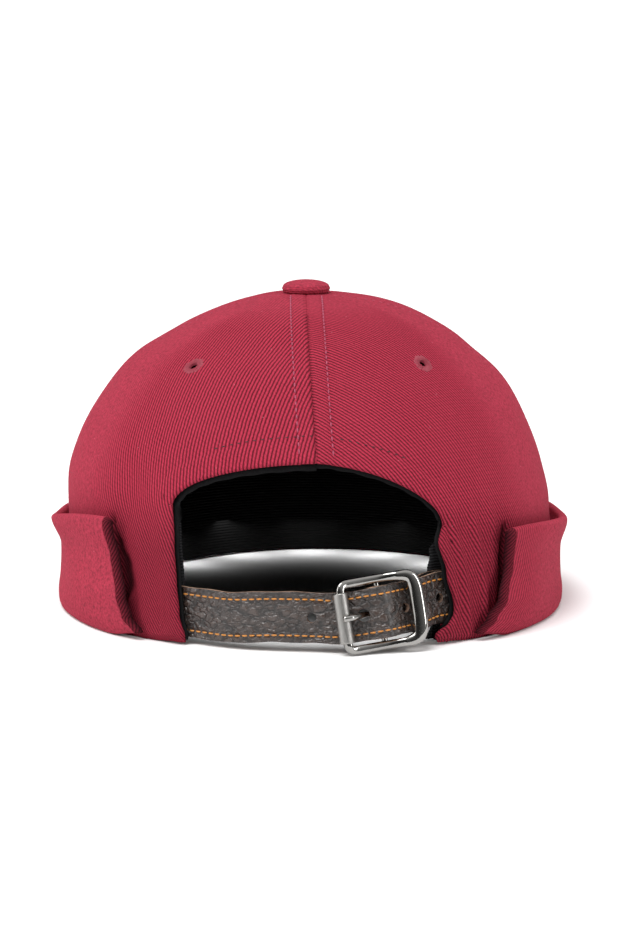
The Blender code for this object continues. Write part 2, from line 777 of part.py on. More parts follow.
def build_strap(buckle):
    """The long holed strap: behind the roller, over the bar and behind the buckle's bent end."""
    near, tail = strap_stations(buckle)
    route = smooth_route(near + tail, ROUTE_STEPS)
    mesh = band_along("strap", route, STRAP_WIDTH, 2, buckle)
    face_away(mesh, CROWN_MIDDLE)
    strap = add_part("strap", mesh, LEATHER)
    thicken(strap, STRAP_THICKNESS, outward=False)
    hole = prong_hole_x()
    fine = smooth_route(near + tail, HOLE_SEARCH_STEPS)
    hole_point = buckle @ Vector((hole, 0.0, 0.0))
    first = nearest_step(fine, hole_point)
    for number, holes_along in enumerate(STRAP_HOLES_FROM_PRONG):
        index = walked_index(fine, first, holes_along * STRAP_HOLE_PITCH)
        radius = PRONG_HOLE_RADIUS if holes_along == 0 else STRAP_HOLE_RADIUS
        place = route_frame(fine, index, buckle)
        bore = round_cutter(f"strap_hole_{number}", radius, 4 * STRAP_THICKNESS, place)
        cut(strap, bore)


def prong_hole_x():
    """Place along the buckle of the strap's hole that the prong comes through."""
    return roller_x() / 2


def build_buckle_strap(buckle):
    """The short strap that loops the bar and runs under the long strap to the right edge."""
    loop = BAR_RADIUS + GAP + BUCKLE_STRAP_THICKNESS
    front = [Vector((BUCKLE_STRAP_RETURN, 0.0, loop - BAR_DEPTH - GAP))]
    for step in range(LOOP_STEPS + 1):
        swing = math.pi / 2 + math.pi * step / LOOP_STEPS
        front.append(Vector((loop * math.cos(swing), 0.0, loop * math.sin(swing) - BAR_DEPTH)))
    front.append(Vector((BUCKLE_STRAP_RETURN, 0.0, -loop - BAR_DEPTH)))
    depth = STRAP_THICKNESS + LAYER_GAP + BUCKLE_STRAP_THICKNESS
    near, tail = strap_stations(buckle)
    over = smooth_route(near + tail, ROUTE_STEPS)
    bend = (len(near) + 1) * ROUTE_STEPS
    tail = []
    for index in range(bend, len(over)):
        behind = route_frame(over, index, buckle)
        tail.append(behind @ Vector((0, 0, -depth)))
    route = smooth_route([buckle @ point for point in front] + tail[:1], ROUTE_STEPS) + tail[1:]
    mesh = band_along("buckle_strap", route, STRAP_WIDTH, 1, buckle)
    bar_middle = buckle @ Vector((0.0, 0.0, -BAR_DEPTH))
    face_away(mesh, bar_middle)
    strap = add_part("buckle_strap", mesh, LEATHER)
    thicken(strap, BUCKLE_STRAP_THICKNESS, outward=False)
    slot = bpy.data.meshes.new("prong_slot")
    form = bmesh.new()
    bmesh.ops.create_cube(form, size=1.0)
    form.to_mesh(slot)
    form.free()
    slot_width = 2 * PRONG_RADIUS + 4 * GAP
    slot.transform(Matrix.Diagonal((PRONG_SLOT_LENGTH, slot_width, PRONG_SLOT_LENGTH, 1)))
    cut(strap, add_cutter("prong_slot", slot, Matrix.Translation(bar_middle) @ rotation_of(buckle)))


def rotation_of(frame):
    """The turning part of a frame."""
    return frame.to_quaternion().to_matrix().to_4x4()


def tube(name, points, radii, closed, place):
    """A round bar along points, as a mesh with welded ends."""
    curve = bpy.data.curves.new(name, "CURVE")
    curve.dimensions = "3D"
    curve.bevel_depth = 1.0
    curve.bevel_resolution = TUBE_STEPS
    curve.use_fill_caps = True
    spline = curve.splines.new("POLY")
    spline.points.add(len(points) - 1)
    spline.use_cyclic_u = closed
    for point, place_at, radius in zip(spline.points, points, radii):
        point.co = (*place_at, 1.0)
        point.radius = radius
    holder = bpy.data.objects.new(name, curve)
    cutters.objects.link(holder)
    bpy.context.view_layer.update()
    seen = holder.evaluated_get(bpy.context.evaluated_depsgraph_get())
    mesh = bpy.data.meshes.new_from_object(seen)
    bpy.data.objects.remove(holder)
    form = bmesh.new()
    form.from_mesh(mesh)
    bmesh.ops.remove_doubles(form, verts=form.verts, dist=0.001 * MM)
    form.to_mesh(mesh)
    form.free()
    mesh.transform(place)
    return mesh


def build_buckle_frame(buckle):
    """The D-shaped frame, its rails bowed towards the head, with the bar joined across them."""
    left = roller_x()
    rail = rail_y()
    bend_start = BUCKLE_LENGTH * BUCKLE_BEND_START
    upper = []
    for step in range(CORNER_STEPS + 1):
        swing = math.pi / 2 * step / CORNER_STEPS
        across = left + BUCKLE_CORNER * (1 - math.sin(swing))
        upper.append((across, rail - BUCKLE_CORNER * (1 - math.cos(swing))))
    rail_start = left + BUCKLE_CORNER
    for step in range(1, CORNER_STEPS + 1):
        across = rail_start + (bend_start - rail_start) * step / (CORNER_STEPS + 1)
        upper.insert(0, (across, rail))
    points = upper + [(across, -along) for across, along in reversed(upper)]
    radii = [BUCKLE_RAIL_RADIUS] * len(points)
    power = 2 / BUCKLE_BEND_SQUARENESS
    for step in range(BEND_STEPS + 1):
        swing = -math.pi / 2 + math.pi * step / BEND_STEPS
        reach = max(math.cos(swing), 0.0) ** power
        along = rail * math.copysign(abs(math.sin(swing)) ** power, math.sin(swing))
        points.append((bend_start + (bend_x() - bend_start) * reach, along))
        radii.append(BUCKLE_RAIL_RADIUS + (BUCKLE_BEND_RADIUS - BUCKLE_RAIL_RADIUS) * reach)
    bowed = []
    for across, along in points:
        end = left if across < 0 else bend_start
        bow = BUCKLE_BOW * max(1 - (across / end) ** 2, 0.0)
        bowed.append((across, along, -bow))
    mesh = tube("buckle_frame", bowed, radii, True, buckle)
    frame = add_part("buckle_frame", mesh, POLISHED_METAL)
    bar_place = buckle @ Matrix.Translation((0, 0, -BAR_DEPTH)) @ Matrix.Rotation(math.pi / 2, 4, "X")
    bar = round_cutter("bar", BAR_RADIUS, 2 * rail, bar_place)
    join = frame.modifiers.new("bar", "BOOLEAN")
    join.operation = "UNION"
    join.object = bar


def build_roller(buckle):
    """The satin roller that turns on the end bar."""
    half = rail_y() - BUCKLE_CORNER - GAP
    bore = BUCKLE_RAIL_RADIUS + GAP
    profile = [
        (ROLLER_RADIUS, half), (ROLLER_RADIUS, -half), (bore, -half), (bore, half),
        (ROLLER_RADIUS, half),
    ]
    place = buckle @ Matrix.Translation((roller_x(), 0, 0)) @ Matrix.Rotation(-math.pi / 2, 4, "X")
    turned("buckle_roller", profile, SATIN_METAL, place)


def build_prong(buckle):
    """The prong: hooked round the bar, up through the strap's hole and resting on the roller."""
    reach = BAR_RADIUS + GAP + PRONG_RADIUS
    points = []
    for step in range(PRONG_STEPS + 1):
        swing = PRONG_HOOK_START + (math.pi / 2 - PRONG_HOOK_START) * step / PRONG_STEPS
        points.append((reach * math.cos(swing), 0.0, reach * math.sin(swing) - BAR_DEPTH))
    start = prong_hole_x() + PRONG_HOLE_RADIUS
    low = reach - BAR_DEPTH - PRONG_RADIUS
    rest = ROLLER_RADIUS + GAP + PRONG_RADIUS
    for step in range(PRONG_STEPS + 1):
        along = step / PRONG_STEPS
        across = start + (roller_x() - start) * along
        points.append((across, 0.0, low + (rest - low) * eased(along)))
    points.append((roller_x() - ROLLER_RADIUS / 2, 0.0, rest))
    radii = [PRONG_RADIUS] * len(points)
    add_part("buckle_prong", tube("buckle_prong", points, radii, False, buckle), POLISHED_METAL)


for leftover in list(bpy.data.objects):
    bpy.data.objects.remove(leftover)

beanie = bpy.data.collections.new("docker_beanie")
cutters = bpy.data.collections.new("cutters")
for collection in (beanie, cutters):
    bpy.context.scene.collection.children.link(collection)

cap = bpy.data.objects.new("cap", None)
beanie.objects.link(cap)

build_panels()
build_lining()
build_sweatband()
build_cuff()
build_button()
buckle_place = buckle_frame_place()
build_strap(buckle_place)
build_buckle_strap(buckle_place)
build_buckle_frame(buckle_place)
build_roller(buckle_place)
build_prong(buckle_place)
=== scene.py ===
import math

import bpy
import numpy as np
from mathutils import Matrix, Vector


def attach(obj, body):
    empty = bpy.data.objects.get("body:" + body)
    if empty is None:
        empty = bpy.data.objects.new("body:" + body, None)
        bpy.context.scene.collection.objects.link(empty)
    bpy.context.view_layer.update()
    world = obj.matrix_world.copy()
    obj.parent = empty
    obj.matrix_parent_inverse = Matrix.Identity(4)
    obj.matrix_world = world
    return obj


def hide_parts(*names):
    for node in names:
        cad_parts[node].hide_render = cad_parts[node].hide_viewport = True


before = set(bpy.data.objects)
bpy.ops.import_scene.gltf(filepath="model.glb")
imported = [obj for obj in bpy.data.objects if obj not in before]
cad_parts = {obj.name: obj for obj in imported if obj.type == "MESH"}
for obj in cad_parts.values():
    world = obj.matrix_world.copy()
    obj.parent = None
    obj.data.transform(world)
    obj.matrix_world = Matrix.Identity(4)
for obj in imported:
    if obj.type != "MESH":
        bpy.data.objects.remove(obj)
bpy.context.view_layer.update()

MM = 0.001
DEGREE = math.pi / 180

# The crown, as the solids have it
GAP = 0.3 * MM
LAYER_GAP = 0.8 * MM
CROWN_HALF_WIDTH = 84.9 * MM
CROWN_BACK_LENGTH = 98.0 * MM
CROWN_FRONT_LENGTH = 101.0 * MM
CROWN_SHIFT = -1.3 * MM
CROWN_HEIGHT = 109.5 * MM
WALL_HEIGHT = 35.0 * MM
DOME_ROUNDNESS = 1.94
DOME_LEVEL = 0.78
CLOTH = 1.5 * MM
CROWN_MIDDLE = np.array((0.0, 0.0, WALL_HEIGHT))
LEAN = ((0, 0.005), (0.20, 0.005), (0.33, -0.003), (0.46, -0.014), (0.56, -0.014),
        (0.70, -0.008), (0.80, -0.007), (0.88, 0.008), (0.97, 0.017), (1, -0.014))
# Turn in degrees, height share, turn width, height width, depth in cloth thicknesses
DENTS = ((-46, 0.44, 7, 0.10, -1.6), (-90, 0.78, 16, 0.07, 0.6),
         (92, 0.74, 16, 0.07, 0.6), (33, 0.35, 8, 0.05, -1.2))
DENT_FADE = 0.05
HALVINGS = 26

# The opening at the back
OPENING_HEIGHT = 62.4 * MM
HALF_WIDTH = 45.9 * MM
SEAM_TOP_SIDE = -1.2 * MM
SEAM_FOOT_SIDE = 2.5 * MM
LEFT = {"sign": -1, "rise": 15.4 * MM, "roundness": 1.85, "lip": 1.2 * MM,
        "edge": ((0, 0.930), (0.25, 0.952), (0.43, 0.967), (0.75, 0.986), (1, 1))}
RIGHT = {"sign": 1, "rise": 22.4 * MM, "roundness": 1.55, "lip": 5 * MM,
         "edge": ((0, 0.985), (0.14, 1.035), (0.30, 1.060), (0.61, 1.0), (0.85, 0.955), (1, 1))}

# The lip with which the dressed hem stands in beside the opening: its height, the height up to
# which it fills out, and its share at the floor
LIP_HEIGHT = 9 * MM
LIP_FOOT = 2.8 * MM
LIP_AT_FLOOR = 0.35

# The cuff
CUFF_HEIGHT = 29.8 * MM
CUFF_THICKNESS = 3.2 * MM
CUFF_FLARE = 2.8 * MM
CUFF_STANDOFF = 3.0 * MM
CUFF_END_RISE = {1: 7.4 * MM, -1: 10.9 * MM}
CUFF_RISE_START = 100 * DEGREE
CUFF_TOP_END = 47.4 * DEGREE
CUFF_FLARES = ((0, 0.30), (0.15, 0.35), (0.35, 0.20), (0.70, 0.20), (1, 1))
CUFF_STANDOFFS = ((0, 0), (0.15, 0.40), (0.35, 1), (0.70, 0.60), (1, 0.35))
CUFF_ENDS = {-1: ((0, 40.5), (0.15, 43), (0.35, 43.8), (0.70, 46.4), (1, 48)),
             1: ((0, 39.5), (0.15, 42), (0.35, 44.7), (0.70, 47.5), (1, 47.4))}

CUFF_RUN = 415 * MM
CUFF_CAP = 2.5 * MM
CUFF_WAVE = 0.22 * MM
CUFF_WAIST = 0.5 * MM
CUFF_END_LIFT = 2.2 * MM
CUFF_COLUMNS, CUFF_CAP_ROWS, CUFF_ROWS = 440, 10, 30

# Inside
LINING_THICKNESS = 0.8 * MM
LINING_SHOW = 0.45 * MM
LINING_WAVE = 0.15 * MM
SWEATBAND_HEIGHT = 36 * MM
SWEATBAND_LIFT = 0.6 * MM
SWEATBAND_SAG = 7 * MM
# How far the band's ends stand out from the opening's edges, by share of its height
SWEATBAND_ENDS = {-1: ((0, -4.5), (0.45, -4.5), (0.52, -1.7), (1, -1.7)),
                  1: ((0, 0.7), (0.68, 0.7), (0.85, -1.6), (1, -7.0))}
SWEATBAND_EASE = 14 * DEGREE
INSIDE_LINING = CLOTH + LAYER_GAP + LINING_THICKNESS + LAYER_GAP

# Button and eyelets
BUTTON_RADIUS = 8.4 * MM
BUTTON_HEIGHT = 3.4 * MM
EYELET_RADIUS = 3.0 * MM
EYELET_THREAD = 1.1 * MM
EYELETS = {"back_left": (-42.8, 0.817), "back_right": (43.7, 0.824),
           "front_left": (-140, 0.820), "front_right": (140, 0.820)}

# Strap and buckle
STRAP_WIDTH = 17 * MM
STRAP_THICKNESS = 1.5 * MM
STRAP_TUCK = 6 * DEGREE
STRAP_TWIST = 14 * MM
STRAP_HOLE_RADIUS = 1.6 * MM
STRAP_HOLE_PITCH = 17.2 * MM
PRONG_HOLE_RADIUS = 2.2 * MM
STRAP_LEFT_HEIGHT = 10.8 * MM
STRAP_FRONT_HEIGHT = 11.8 * MM
STRAP_RIGHT_HEIGHT = 15.4 * MM
STRAP_FRONT = ((0.6, STRAP_LEFT_HEIGHT, 0.7), (0.3, STRAP_FRONT_HEIGHT, 0.6),
               (0.0, STRAP_FRONT_HEIGHT, 0.6))
STRAP_BEHIND_BEND = 0.68
BUCKLE_STRAP_THICKNESS = 1.2 * MM
BUCKLE_STRAP_RETURN = 2.5 * MM
BUCKLE_LENGTH = 30 * MM
RAIL_RADIUS = 1.2 * MM
BEND_RADIUS = 1.8 * MM
BUCKLE_PLAY = 1.6 * MM
BUCKLE_CORNER = 2.6 * MM
BEND_START = 0.2 * BUCKLE_LENGTH
BEND_SQUARENESS = 4
BUCKLE_BOW = 1.6 * MM
BAR_RADIUS = 1 * MM
BAR_DEPTH = 2.8 * MM
ROLLER_RADIUS = 2.5 * MM
PRONG_RADIUS = 0.75 * MM
PRONG_HOOK_START = -120 * DEGREE
BUCKLE_SIDE = 23.7 * MM
BUCKLE_MIDDLE_HEIGHT = 13.9 * MM
BUCKLE_STANDOFF = 1.7 * MM
BUCKLE_ROLL = 6 * DEGREE
BUCKLE_PITCH = -10.5 * DEGREE
ROLLER_X = RAIL_RADIUS - BUCKLE_LENGTH / 2
BEND_X = BUCKLE_LENGTH / 2 - BEND_RADIUS
RAIL_Y = STRAP_WIDTH / 2 + BUCKLE_PLAY + RAIL_RADIUS
PRONG_HOLE_X = ROLLER_X / 2
ROUTE_STEPS = 4
HOLE_SIDES = 28
SHARP_EDGE = 50 * DEGREE

# Slots beside the cuff's ends, sunk in and painted dark with painted shade: height share, turn and half
# width in degrees
SLOTS = {-1: ((0.02, 45.6, 0.5), (0.10, 48.2, 0.9), (0.16, 47.0, 2.0), (0.22, 47.8, 2.0),
              (0.28, 49.6, 1.4), (0.34, 51.6, 0.8)),
         1: ((0.02, 45.4, 0.6), (0.07, 49.0, 0.8), (0.14, 50.0, 1.3), (0.23, 50.0, 1.3), (0.32, 51.4, 1.0))}
SLOT_DEPTH = 1.9 * MM
SLOT_FADE = 0.04
# Holes that a needle left, drawn only as spots of painted shade, as turn and height
NEEDLE_HOLES = ((-34.7, 49.4), (39.7, 36.6), (36.1, 34.8), (34.6, 34.7))

# The dressed cloth
SEAM_ROLL = 0.55 * MM
SIDE_ROLL = 0.25 * MM
HEM_ROLL = 1.0 * MM
STITCH_PITCH = 2.7 * MM
THREAD_RADIUS = 0.26 * MM
SEAM_STITCH_SIDE = 5.6 * MM
HEM_STITCH_SIDE = 8.4 * MM
SEAM_PADDING = 0.40 * MM
SIDE_PADDING = 0.12 * MM
RELIEF_FOOT = 4 * MM
HEM_TUCK = 1.3 * MM
CUFF_TUCK = 1.7 * MM
ROUND_HEM = 2.6 * MM
HEM_LIFT = 1.6 * MM
ABOVE_FLOOR = 0.05 * MM
NEEDLE_HOLE = 0.62 * MM
SEAM_LINE = 0.42 * MM
VENT_RADIUS = 1.7 * MM
INNER_FLANGE = 5 * MM
# How much a seam's two rolled edges press into each other
SEAM_SQUEEZE = 0.16 * MM
SIDE_SQUEEZE = 0.10 * MM


def eased(share):
    """Smooth step from 0 to 1."""
    share = np.clip(share, 0.0, 1.0)
    return share * share * (3 - 2 * share)


def bump_at(distance, middle, width):
    """A soft ridge of height 1 where the distance equals the middle."""
    return np.exp(-(((distance - middle) / width) ** 2))


def read_rows(rows, share):
    """Values of a table of (share, value) rows, eased between the rows."""
    places, values = np.array(rows, float).T
    share = np.clip(share, places[0], places[-1])
    high = np.clip(np.searchsorted(places, share), 1, len(places) - 1)
    step = eased((share - places[high - 1]) / (places[high] - places[high - 1]))
    return values[high - 1] * (1 - step) + values[high] * step


def unit(vectors):
    """The same directions with length 1."""
    return vectors / np.maximum(np.linalg.norm(vectors, axis=-1, keepdims=True), 1e-12)


# Form of the crown


def crown_profile(level):
    """Share of the half width, and the height, from 0 at the top to 1 at the hem."""
    fall = np.clip(level / DOME_LEVEL, 0.0, 1.0) * np.pi / 2
    rise = np.maximum(np.cos(fall), 0.0) ** (2 / DOME_ROUNDNESS)
    dome = level < DOME_LEVEL
    reach = np.where(dome, np.sin(fall), 1.0)
    wall = WALL_HEIGHT * (1 - level) / (1 - DOME_LEVEL)
    return reach, np.where(dome, WALL_HEIGHT + (CROWN_HEIGHT - WALL_HEIGHT) * rise, wall)


def level_at(height):
    """Level of the crown's face at a height."""
    height = np.asarray(height, float)
    rise = np.clip((height - WALL_HEIGHT) / (CROWN_HEIGHT - WALL_HEIGHT), 0.0, 1.0)
    dome = DOME_LEVEL * np.arccos(rise ** (DOME_ROUNDNESS / 2)) / (np.pi / 2)
    return np.where(height < WALL_HEIGHT, 1 - (1 - DOME_LEVEL) * height / WALL_HEIGHT, dome)


def smooth_face(turn, level):
    """Points on the crown's outer face before its dents."""
    reach, height = crown_profile(level)
    lean = CROWN_HALF_WIDTH * read_rows(LEAN, height / CROWN_HEIGHT)
    length = np.where(np.cos(turn) > 0, CROWN_BACK_LENGTH, CROWN_FRONT_LENGTH)
    across = lean + reach * CROWN_HALF_WIDTH * np.sin(turn)
    along = CROWN_SHIFT - reach * length * np.cos(turn)
    return np.stack([across, along, height + 0 * across], axis=-1)


def crown_frame(turn, level):
    """Points on the crown's outer face with its dents, and its outward directions."""
    step = 0.001
    turn, level = np.broadcast_arrays(np.asarray(turn, float), np.maximum(level, step))
    point = smooth_face(turn, level)
    round_way = smooth_face(turn + step, level) - smooth_face(turn - step, level)
    down_way = point - smooth_face(turn, level - step)
    normal = unit(np.cross(down_way, round_way))
    depth = 0.0
    for middle, share, turn_width, height_width, cloths in DENTS:
        aside = np.remainder(turn / DEGREE - middle + 180, 360) - 180
        above = (point[..., 2] / CROWN_HEIGHT - share) / height_width
        depth = depth + cloths * CLOTH * np.exp(-((aside / turn_width) ** 2) - above * above)
    depth = depth * eased(point[..., 2] / (DENT_FADE * CROWN_HEIGHT))
    return point + normal * depth[..., None], normal


def crown_point(turn, level, outward=0.0):
    """Points a distance outside the crown's outer face."""
    point, normal = crown_frame(turn, level)
    return point + normal * np.asarray(outward)[..., None]


def turn_at(sign, across, level):
    """Turn at which the crown's face stands that far to one side of the middle."""
    across, level = np.broadcast_arrays(np.asarray(across, float), level)
    low, high = np.zeros(across.shape), np.full(across.shape, np.pi / 2)
    for _ in range(HALVINGS):
        middle = (low + high) / 2
        under = sign * smooth_face(sign * middle, level)[..., 0] < across
        low, high = np.where(under, middle, low), np.where(under, high, middle)
    return sign * low


def opening_edge(side, height, inset=0.0):
    """Turn of the opening's upright edge at a height under the arch."""
    spring = OPENING_HEIGHT - side["rise"]
    across = HALF_WIDTH * read_rows(side["edge"], np.asarray(height) / spring)
    return turn_at(side["sign"], across - inset, level_at(height))


def seam_side(height, foot_side, foot_height):
    """How far to the right a middle seam stands at a height."""
    down = np.clip((CROWN_HEIGHT - height) / (CROWN_HEIGHT - foot_height), 0.0, 1.0)
    return SEAM_TOP_SIDE + (foot_side - SEAM_TOP_SIDE) * down


def middle_seam_turn(level, foot_side, foot_height):
    """Turn away from the middle of a seam that slants a little from the top to its foot."""
    reach, height = crown_profile(level)
    across = seam_side(height, foot_side, foot_height)
    across = across - CROWN_HALF_WIDTH * read_rows(LEAN, height / CROWN_HEIGHT)
    room = np.maximum(np.maximum(reach * CROWN_HALF_WIDTH, 2 * np.abs(across)), MM)
    return np.arcsin(across / room)


def back_seam_turn(level):
    """Turn of the centre back seam."""
    return middle_seam_turn(level, SEAM_FOOT_SIDE, OPENING_HEIGHT)


def arch_point(side, over, inset=0.0):
    """Turn and level of the arch's edge, from the seam at 0 to the corner at 1."""
    swing = np.asarray(over) * np.pi / 2
    power = 2 / side["roundness"]
    spring = OPENING_HEIGHT - side["rise"]
    level = level_at(spring + (side["rise"] - inset) * np.maximum(np.cos(swing), 0.0) ** power)
    seam = back_seam_turn(level)
    corner = turn_at(side["sign"], HALF_WIDTH - inset, level)
    return seam + (corner - seam) * np.sin(swing) ** power, level


def back_cut(side, over, down, seam_gap, side_gap, top_level, inset, lip=0.0):
    """Turns and levels of half the back. over runs 0 to 1 over the arch and on to 2 at the side
    seam, down runs 0 to 1 above the arch's foot and on to 2 at the hem, where a lip stands in."""
    sign = side["sign"]
    over, down = np.broadcast_arrays(over, down)
    corner_level = level_at(OPENING_HEIGHT - side["rise"])
    _, arch_level = arch_point(side, np.minimum(over, 1.0), inset)
    low_level = np.where(over <= 1, arch_level, corner_level)
    above, below = np.minimum(down, 1.0), np.maximum(down - 1.0, 0.0)
    level = top_level + (low_level - top_level) * above + (1 - corner_level) * below
    room = np.maximum(crown_profile(level)[0] * CROWN_HALF_WIDTH, MM)
    seam_turn = back_seam_turn(level) + sign * seam_gap / 2 / room
    side_turn = sign * (np.pi / 2 - side_gap / 2 / room)
    edge_height = crown_profile(np.maximum(level, corner_level))[1]
    filled = LIP_AT_FLOOR + (1 - LIP_AT_FLOOR) * eased(edge_height / LIP_FOOT)
    lobe = (1 - eased(edge_height / LIP_HEIGHT)) * filled
    edge_turn = opening_edge(side, edge_height, inset + lip * lobe)
    beside = edge_turn + (side_turn - edge_turn) * np.maximum(over - 1, 0.0)
    swept = np.sin(np.minimum(over, 1.0) * np.pi / 2) ** (2 / side["roundness"])
    corner_turn = opening_edge(side, crown_profile(corner_level)[1], inset)
    corner_turn = corner_turn + (turn_at(sign, HALF_WIDTH - inset, low_level) - corner_turn) * above * above
    curved = seam_turn + (corner_turn - seam_turn) * (over + (swept - over) * above * above)
    return np.where((over > 1) | (below > 0), beside, curved), level


def front_cut(side, over, down, seam_gap, side_gap, top_level):
    """Turns and levels of half the front, over from the side seam at 0 to the middle at 1."""
    sign = side["sign"]
    over, down = np.broadcast_arrays(over, down)
    rise = side["rise"] * (1 - over) + (LEFT["rise"] + RIGHT["rise"]) / 2 * over
    corner_level = level_at(OPENING_HEIGHT - rise)
    above, below = np.minimum(down, 1.0), np.maximum(down - 1.0, 0.0)
    level = top_level + (corner_level - top_level) * above + (1 - corner_level) * below
    room = np.maximum(crown_profile(level)[0] * CROWN_HALF_WIDTH, MM)
    first = np.pi / 2 + side_gap / 2 / room
    last = np.pi - seam_gap / 2 / room - sign * middle_seam_turn(level, 0.0, 0.0)
    return sign * (first + (last - first) * over), level


# Dressing of the crown


def opening_outline(steps=60):
    """Points along the opening's edge, from the left hem over the arch to the right hem."""
    parts = []
    for side in (LEFT, RIGHT):
        heights = np.linspace(0, OPENING_HEIGHT - side["rise"], steps)
        upright = crown_point(opening_edge(side, heights), level_at(heights))
        arch = crown_point(*arch_point(side, np.linspace(1, 0, steps)))
        parts.append(np.concatenate([upright, arch]))
    return np.concatenate([parts[0], parts[1][::-1]])


OUTLINE = opening_outline()


def from_opening(point, batch=4000):
    """Distance of points from the opening's edge, worked out for a batch of them at a time."""
    flat = point.reshape(-1, 3)
    nearest = [np.linalg.norm(OUTLINE - row[:, None], axis=-1).min(axis=1)
               for row in np.array_split(flat, max(len(flat) // batch, 1))]
    return np.concatenate(nearest).reshape(point.shape[:-1])


def from_seam(point):
    """Distances of points from the nearest middle seam and the nearest side seam."""
    across, along, height = np.moveaxis(point, -1, 0)
    back = np.abs(across - seam_side(height, SEAM_FOOT_SIDE, OPENING_HEIGHT))
    front = np.abs(across - seam_side(height, 0.0, 0.0))
    return np.where(along < 0, back, front), np.abs(along - CROWN_SHIFT)


def seam_relief(point):
    """The turned-in edges that pad both sides of each seam, held down along the topstitching."""
    fold_start, fold_rise, fold_end, fold_fall = 0.3 * MM, MM, 4.4 * MM, 2.2 * MM
    stitch_groove, button_edge, button_fade = 0.75 * MM, 5 * MM, 8 * MM
    relief = 0.0
    for seam, padding in zip(from_seam(point), (SEAM_PADDING, SIDE_PADDING)):
        padded = eased((seam - fold_start) / fold_rise) * (1 - eased((seam - fold_end) / fold_fall))
        relief = relief + padding * (padded - 0.5 * bump_at(seam, SEAM_STITCH_SIDE, stitch_groove))
    from_top = np.hypot(point[..., 0], point[..., 1] - CROWN_SHIFT)
    return relief * eased((from_top - button_edge) / button_fade)


def hem_relief(point):
    """The opening's edge turned in, with the line of stitches that holds it down over the arch."""
    hem, height = from_opening(point), point[..., 2]
    folded, stitch_dent = 0.35 * MM, 0.18 * MM
    arch_foot, arch_fade = 44 * MM, 8 * MM
    arch = eased((height - arch_foot) / arch_fade) * (point[..., 1] < 0)
    relief = folded * (1 - eased((hem - 5.5 * MM) / (4 * MM)))
    return relief - stitch_dent * bump_at(hem, HEM_STITCH_SIDE, 0.8 * MM) * arch


def fold_relief(turn, point):
    """The small folds beside the opening, the slots at the cuff's ends and the soft waves that
    wear gives the cloth all over."""
    across, along, height = np.moveaxis(point, -1, 0)
    turn = turn / DEGREE
    right_fold, left_fold, wave = 0.45 * MM, 0.25 * MM, 0.22 * MM
    low = 1 - eased((height - 36 * MM) / (14 * MM))
    right = eased((turn - 30) / 3) * (1 - eased((turn - 46) / 6)) * low
    left = eased((-turn - 30) / 4) * (1 - eased((-turn - 46) / 8)) * low
    # The folds lean over by 90 degrees of turn for each metre of height
    lean = turn + 90 * height
    relief = right_fold * right * (np.sin(lean * 1.15) + 0.6 * np.sin(lean * 2.1 + 1.0))
    relief += left_fold * left * np.sin(lean * 0.8 + 2.0)
    relief -= SLOT_DEPTH * in_slot(turn, height)
    # Waves about 40 to 70 mm long
    return relief + wave * (np.sin(across * 88 + 1) * np.sin(height * 105 + along * 40)
                            + 0.6 * np.sin(across * 150 - along * 120 + 2) * np.sin(height * 170))


def cloth_relief(turn, point):
    """How far the dressed cloth stands off the plain crown: the seams' turned-in edges, the
    stitched lines, the hem and the folds."""
    height = point[..., 2]
    relief = seam_relief(point) + hem_relief(point) + fold_relief(turn, point)
    return relief * eased(height / RELIEF_FOOT) - hem_tuck(height, HEM_TUCK)


def in_slot(turn, height):
    """Share, from 0 to 1, to which points lie in the slots beside the cuff's ends."""
    share, made = height / CROWN_HEIGHT, 0.0
    for sign, rows in SLOTS.items():
        middle = read_rows([(row[0], row[1]) for row in rows], share)
        width = read_rows([(row[0], row[2]) for row in rows], share)
        fade = 1 - eased((share - rows[-1][0]) / SLOT_FADE)
        made = np.maximum(made, bump_at(sign * turn, middle, width) * fade)
    return made


def hem_tuck(height, depth):
    """How far the cloth rounds in towards its lower edge."""
    short = 1 - np.clip(height / ROUND_HEM, 0.0, 1.0)
    return depth * (1 - np.sqrt(1 - short * short * 0.999))


def lifted(points, turn):
    """The hem lifts off the table a little beside the opening."""
    near = (1 - eased((np.abs(turn) / DEGREE - 33) / 14)) * (np.cos(turn) > 0)
    low = np.maximum(1 - points[..., 2] / (14 * MM), 0.0)
    return points + np.stack([0 * low, 0 * low, HEM_LIFT * near * low * low], axis=-1)


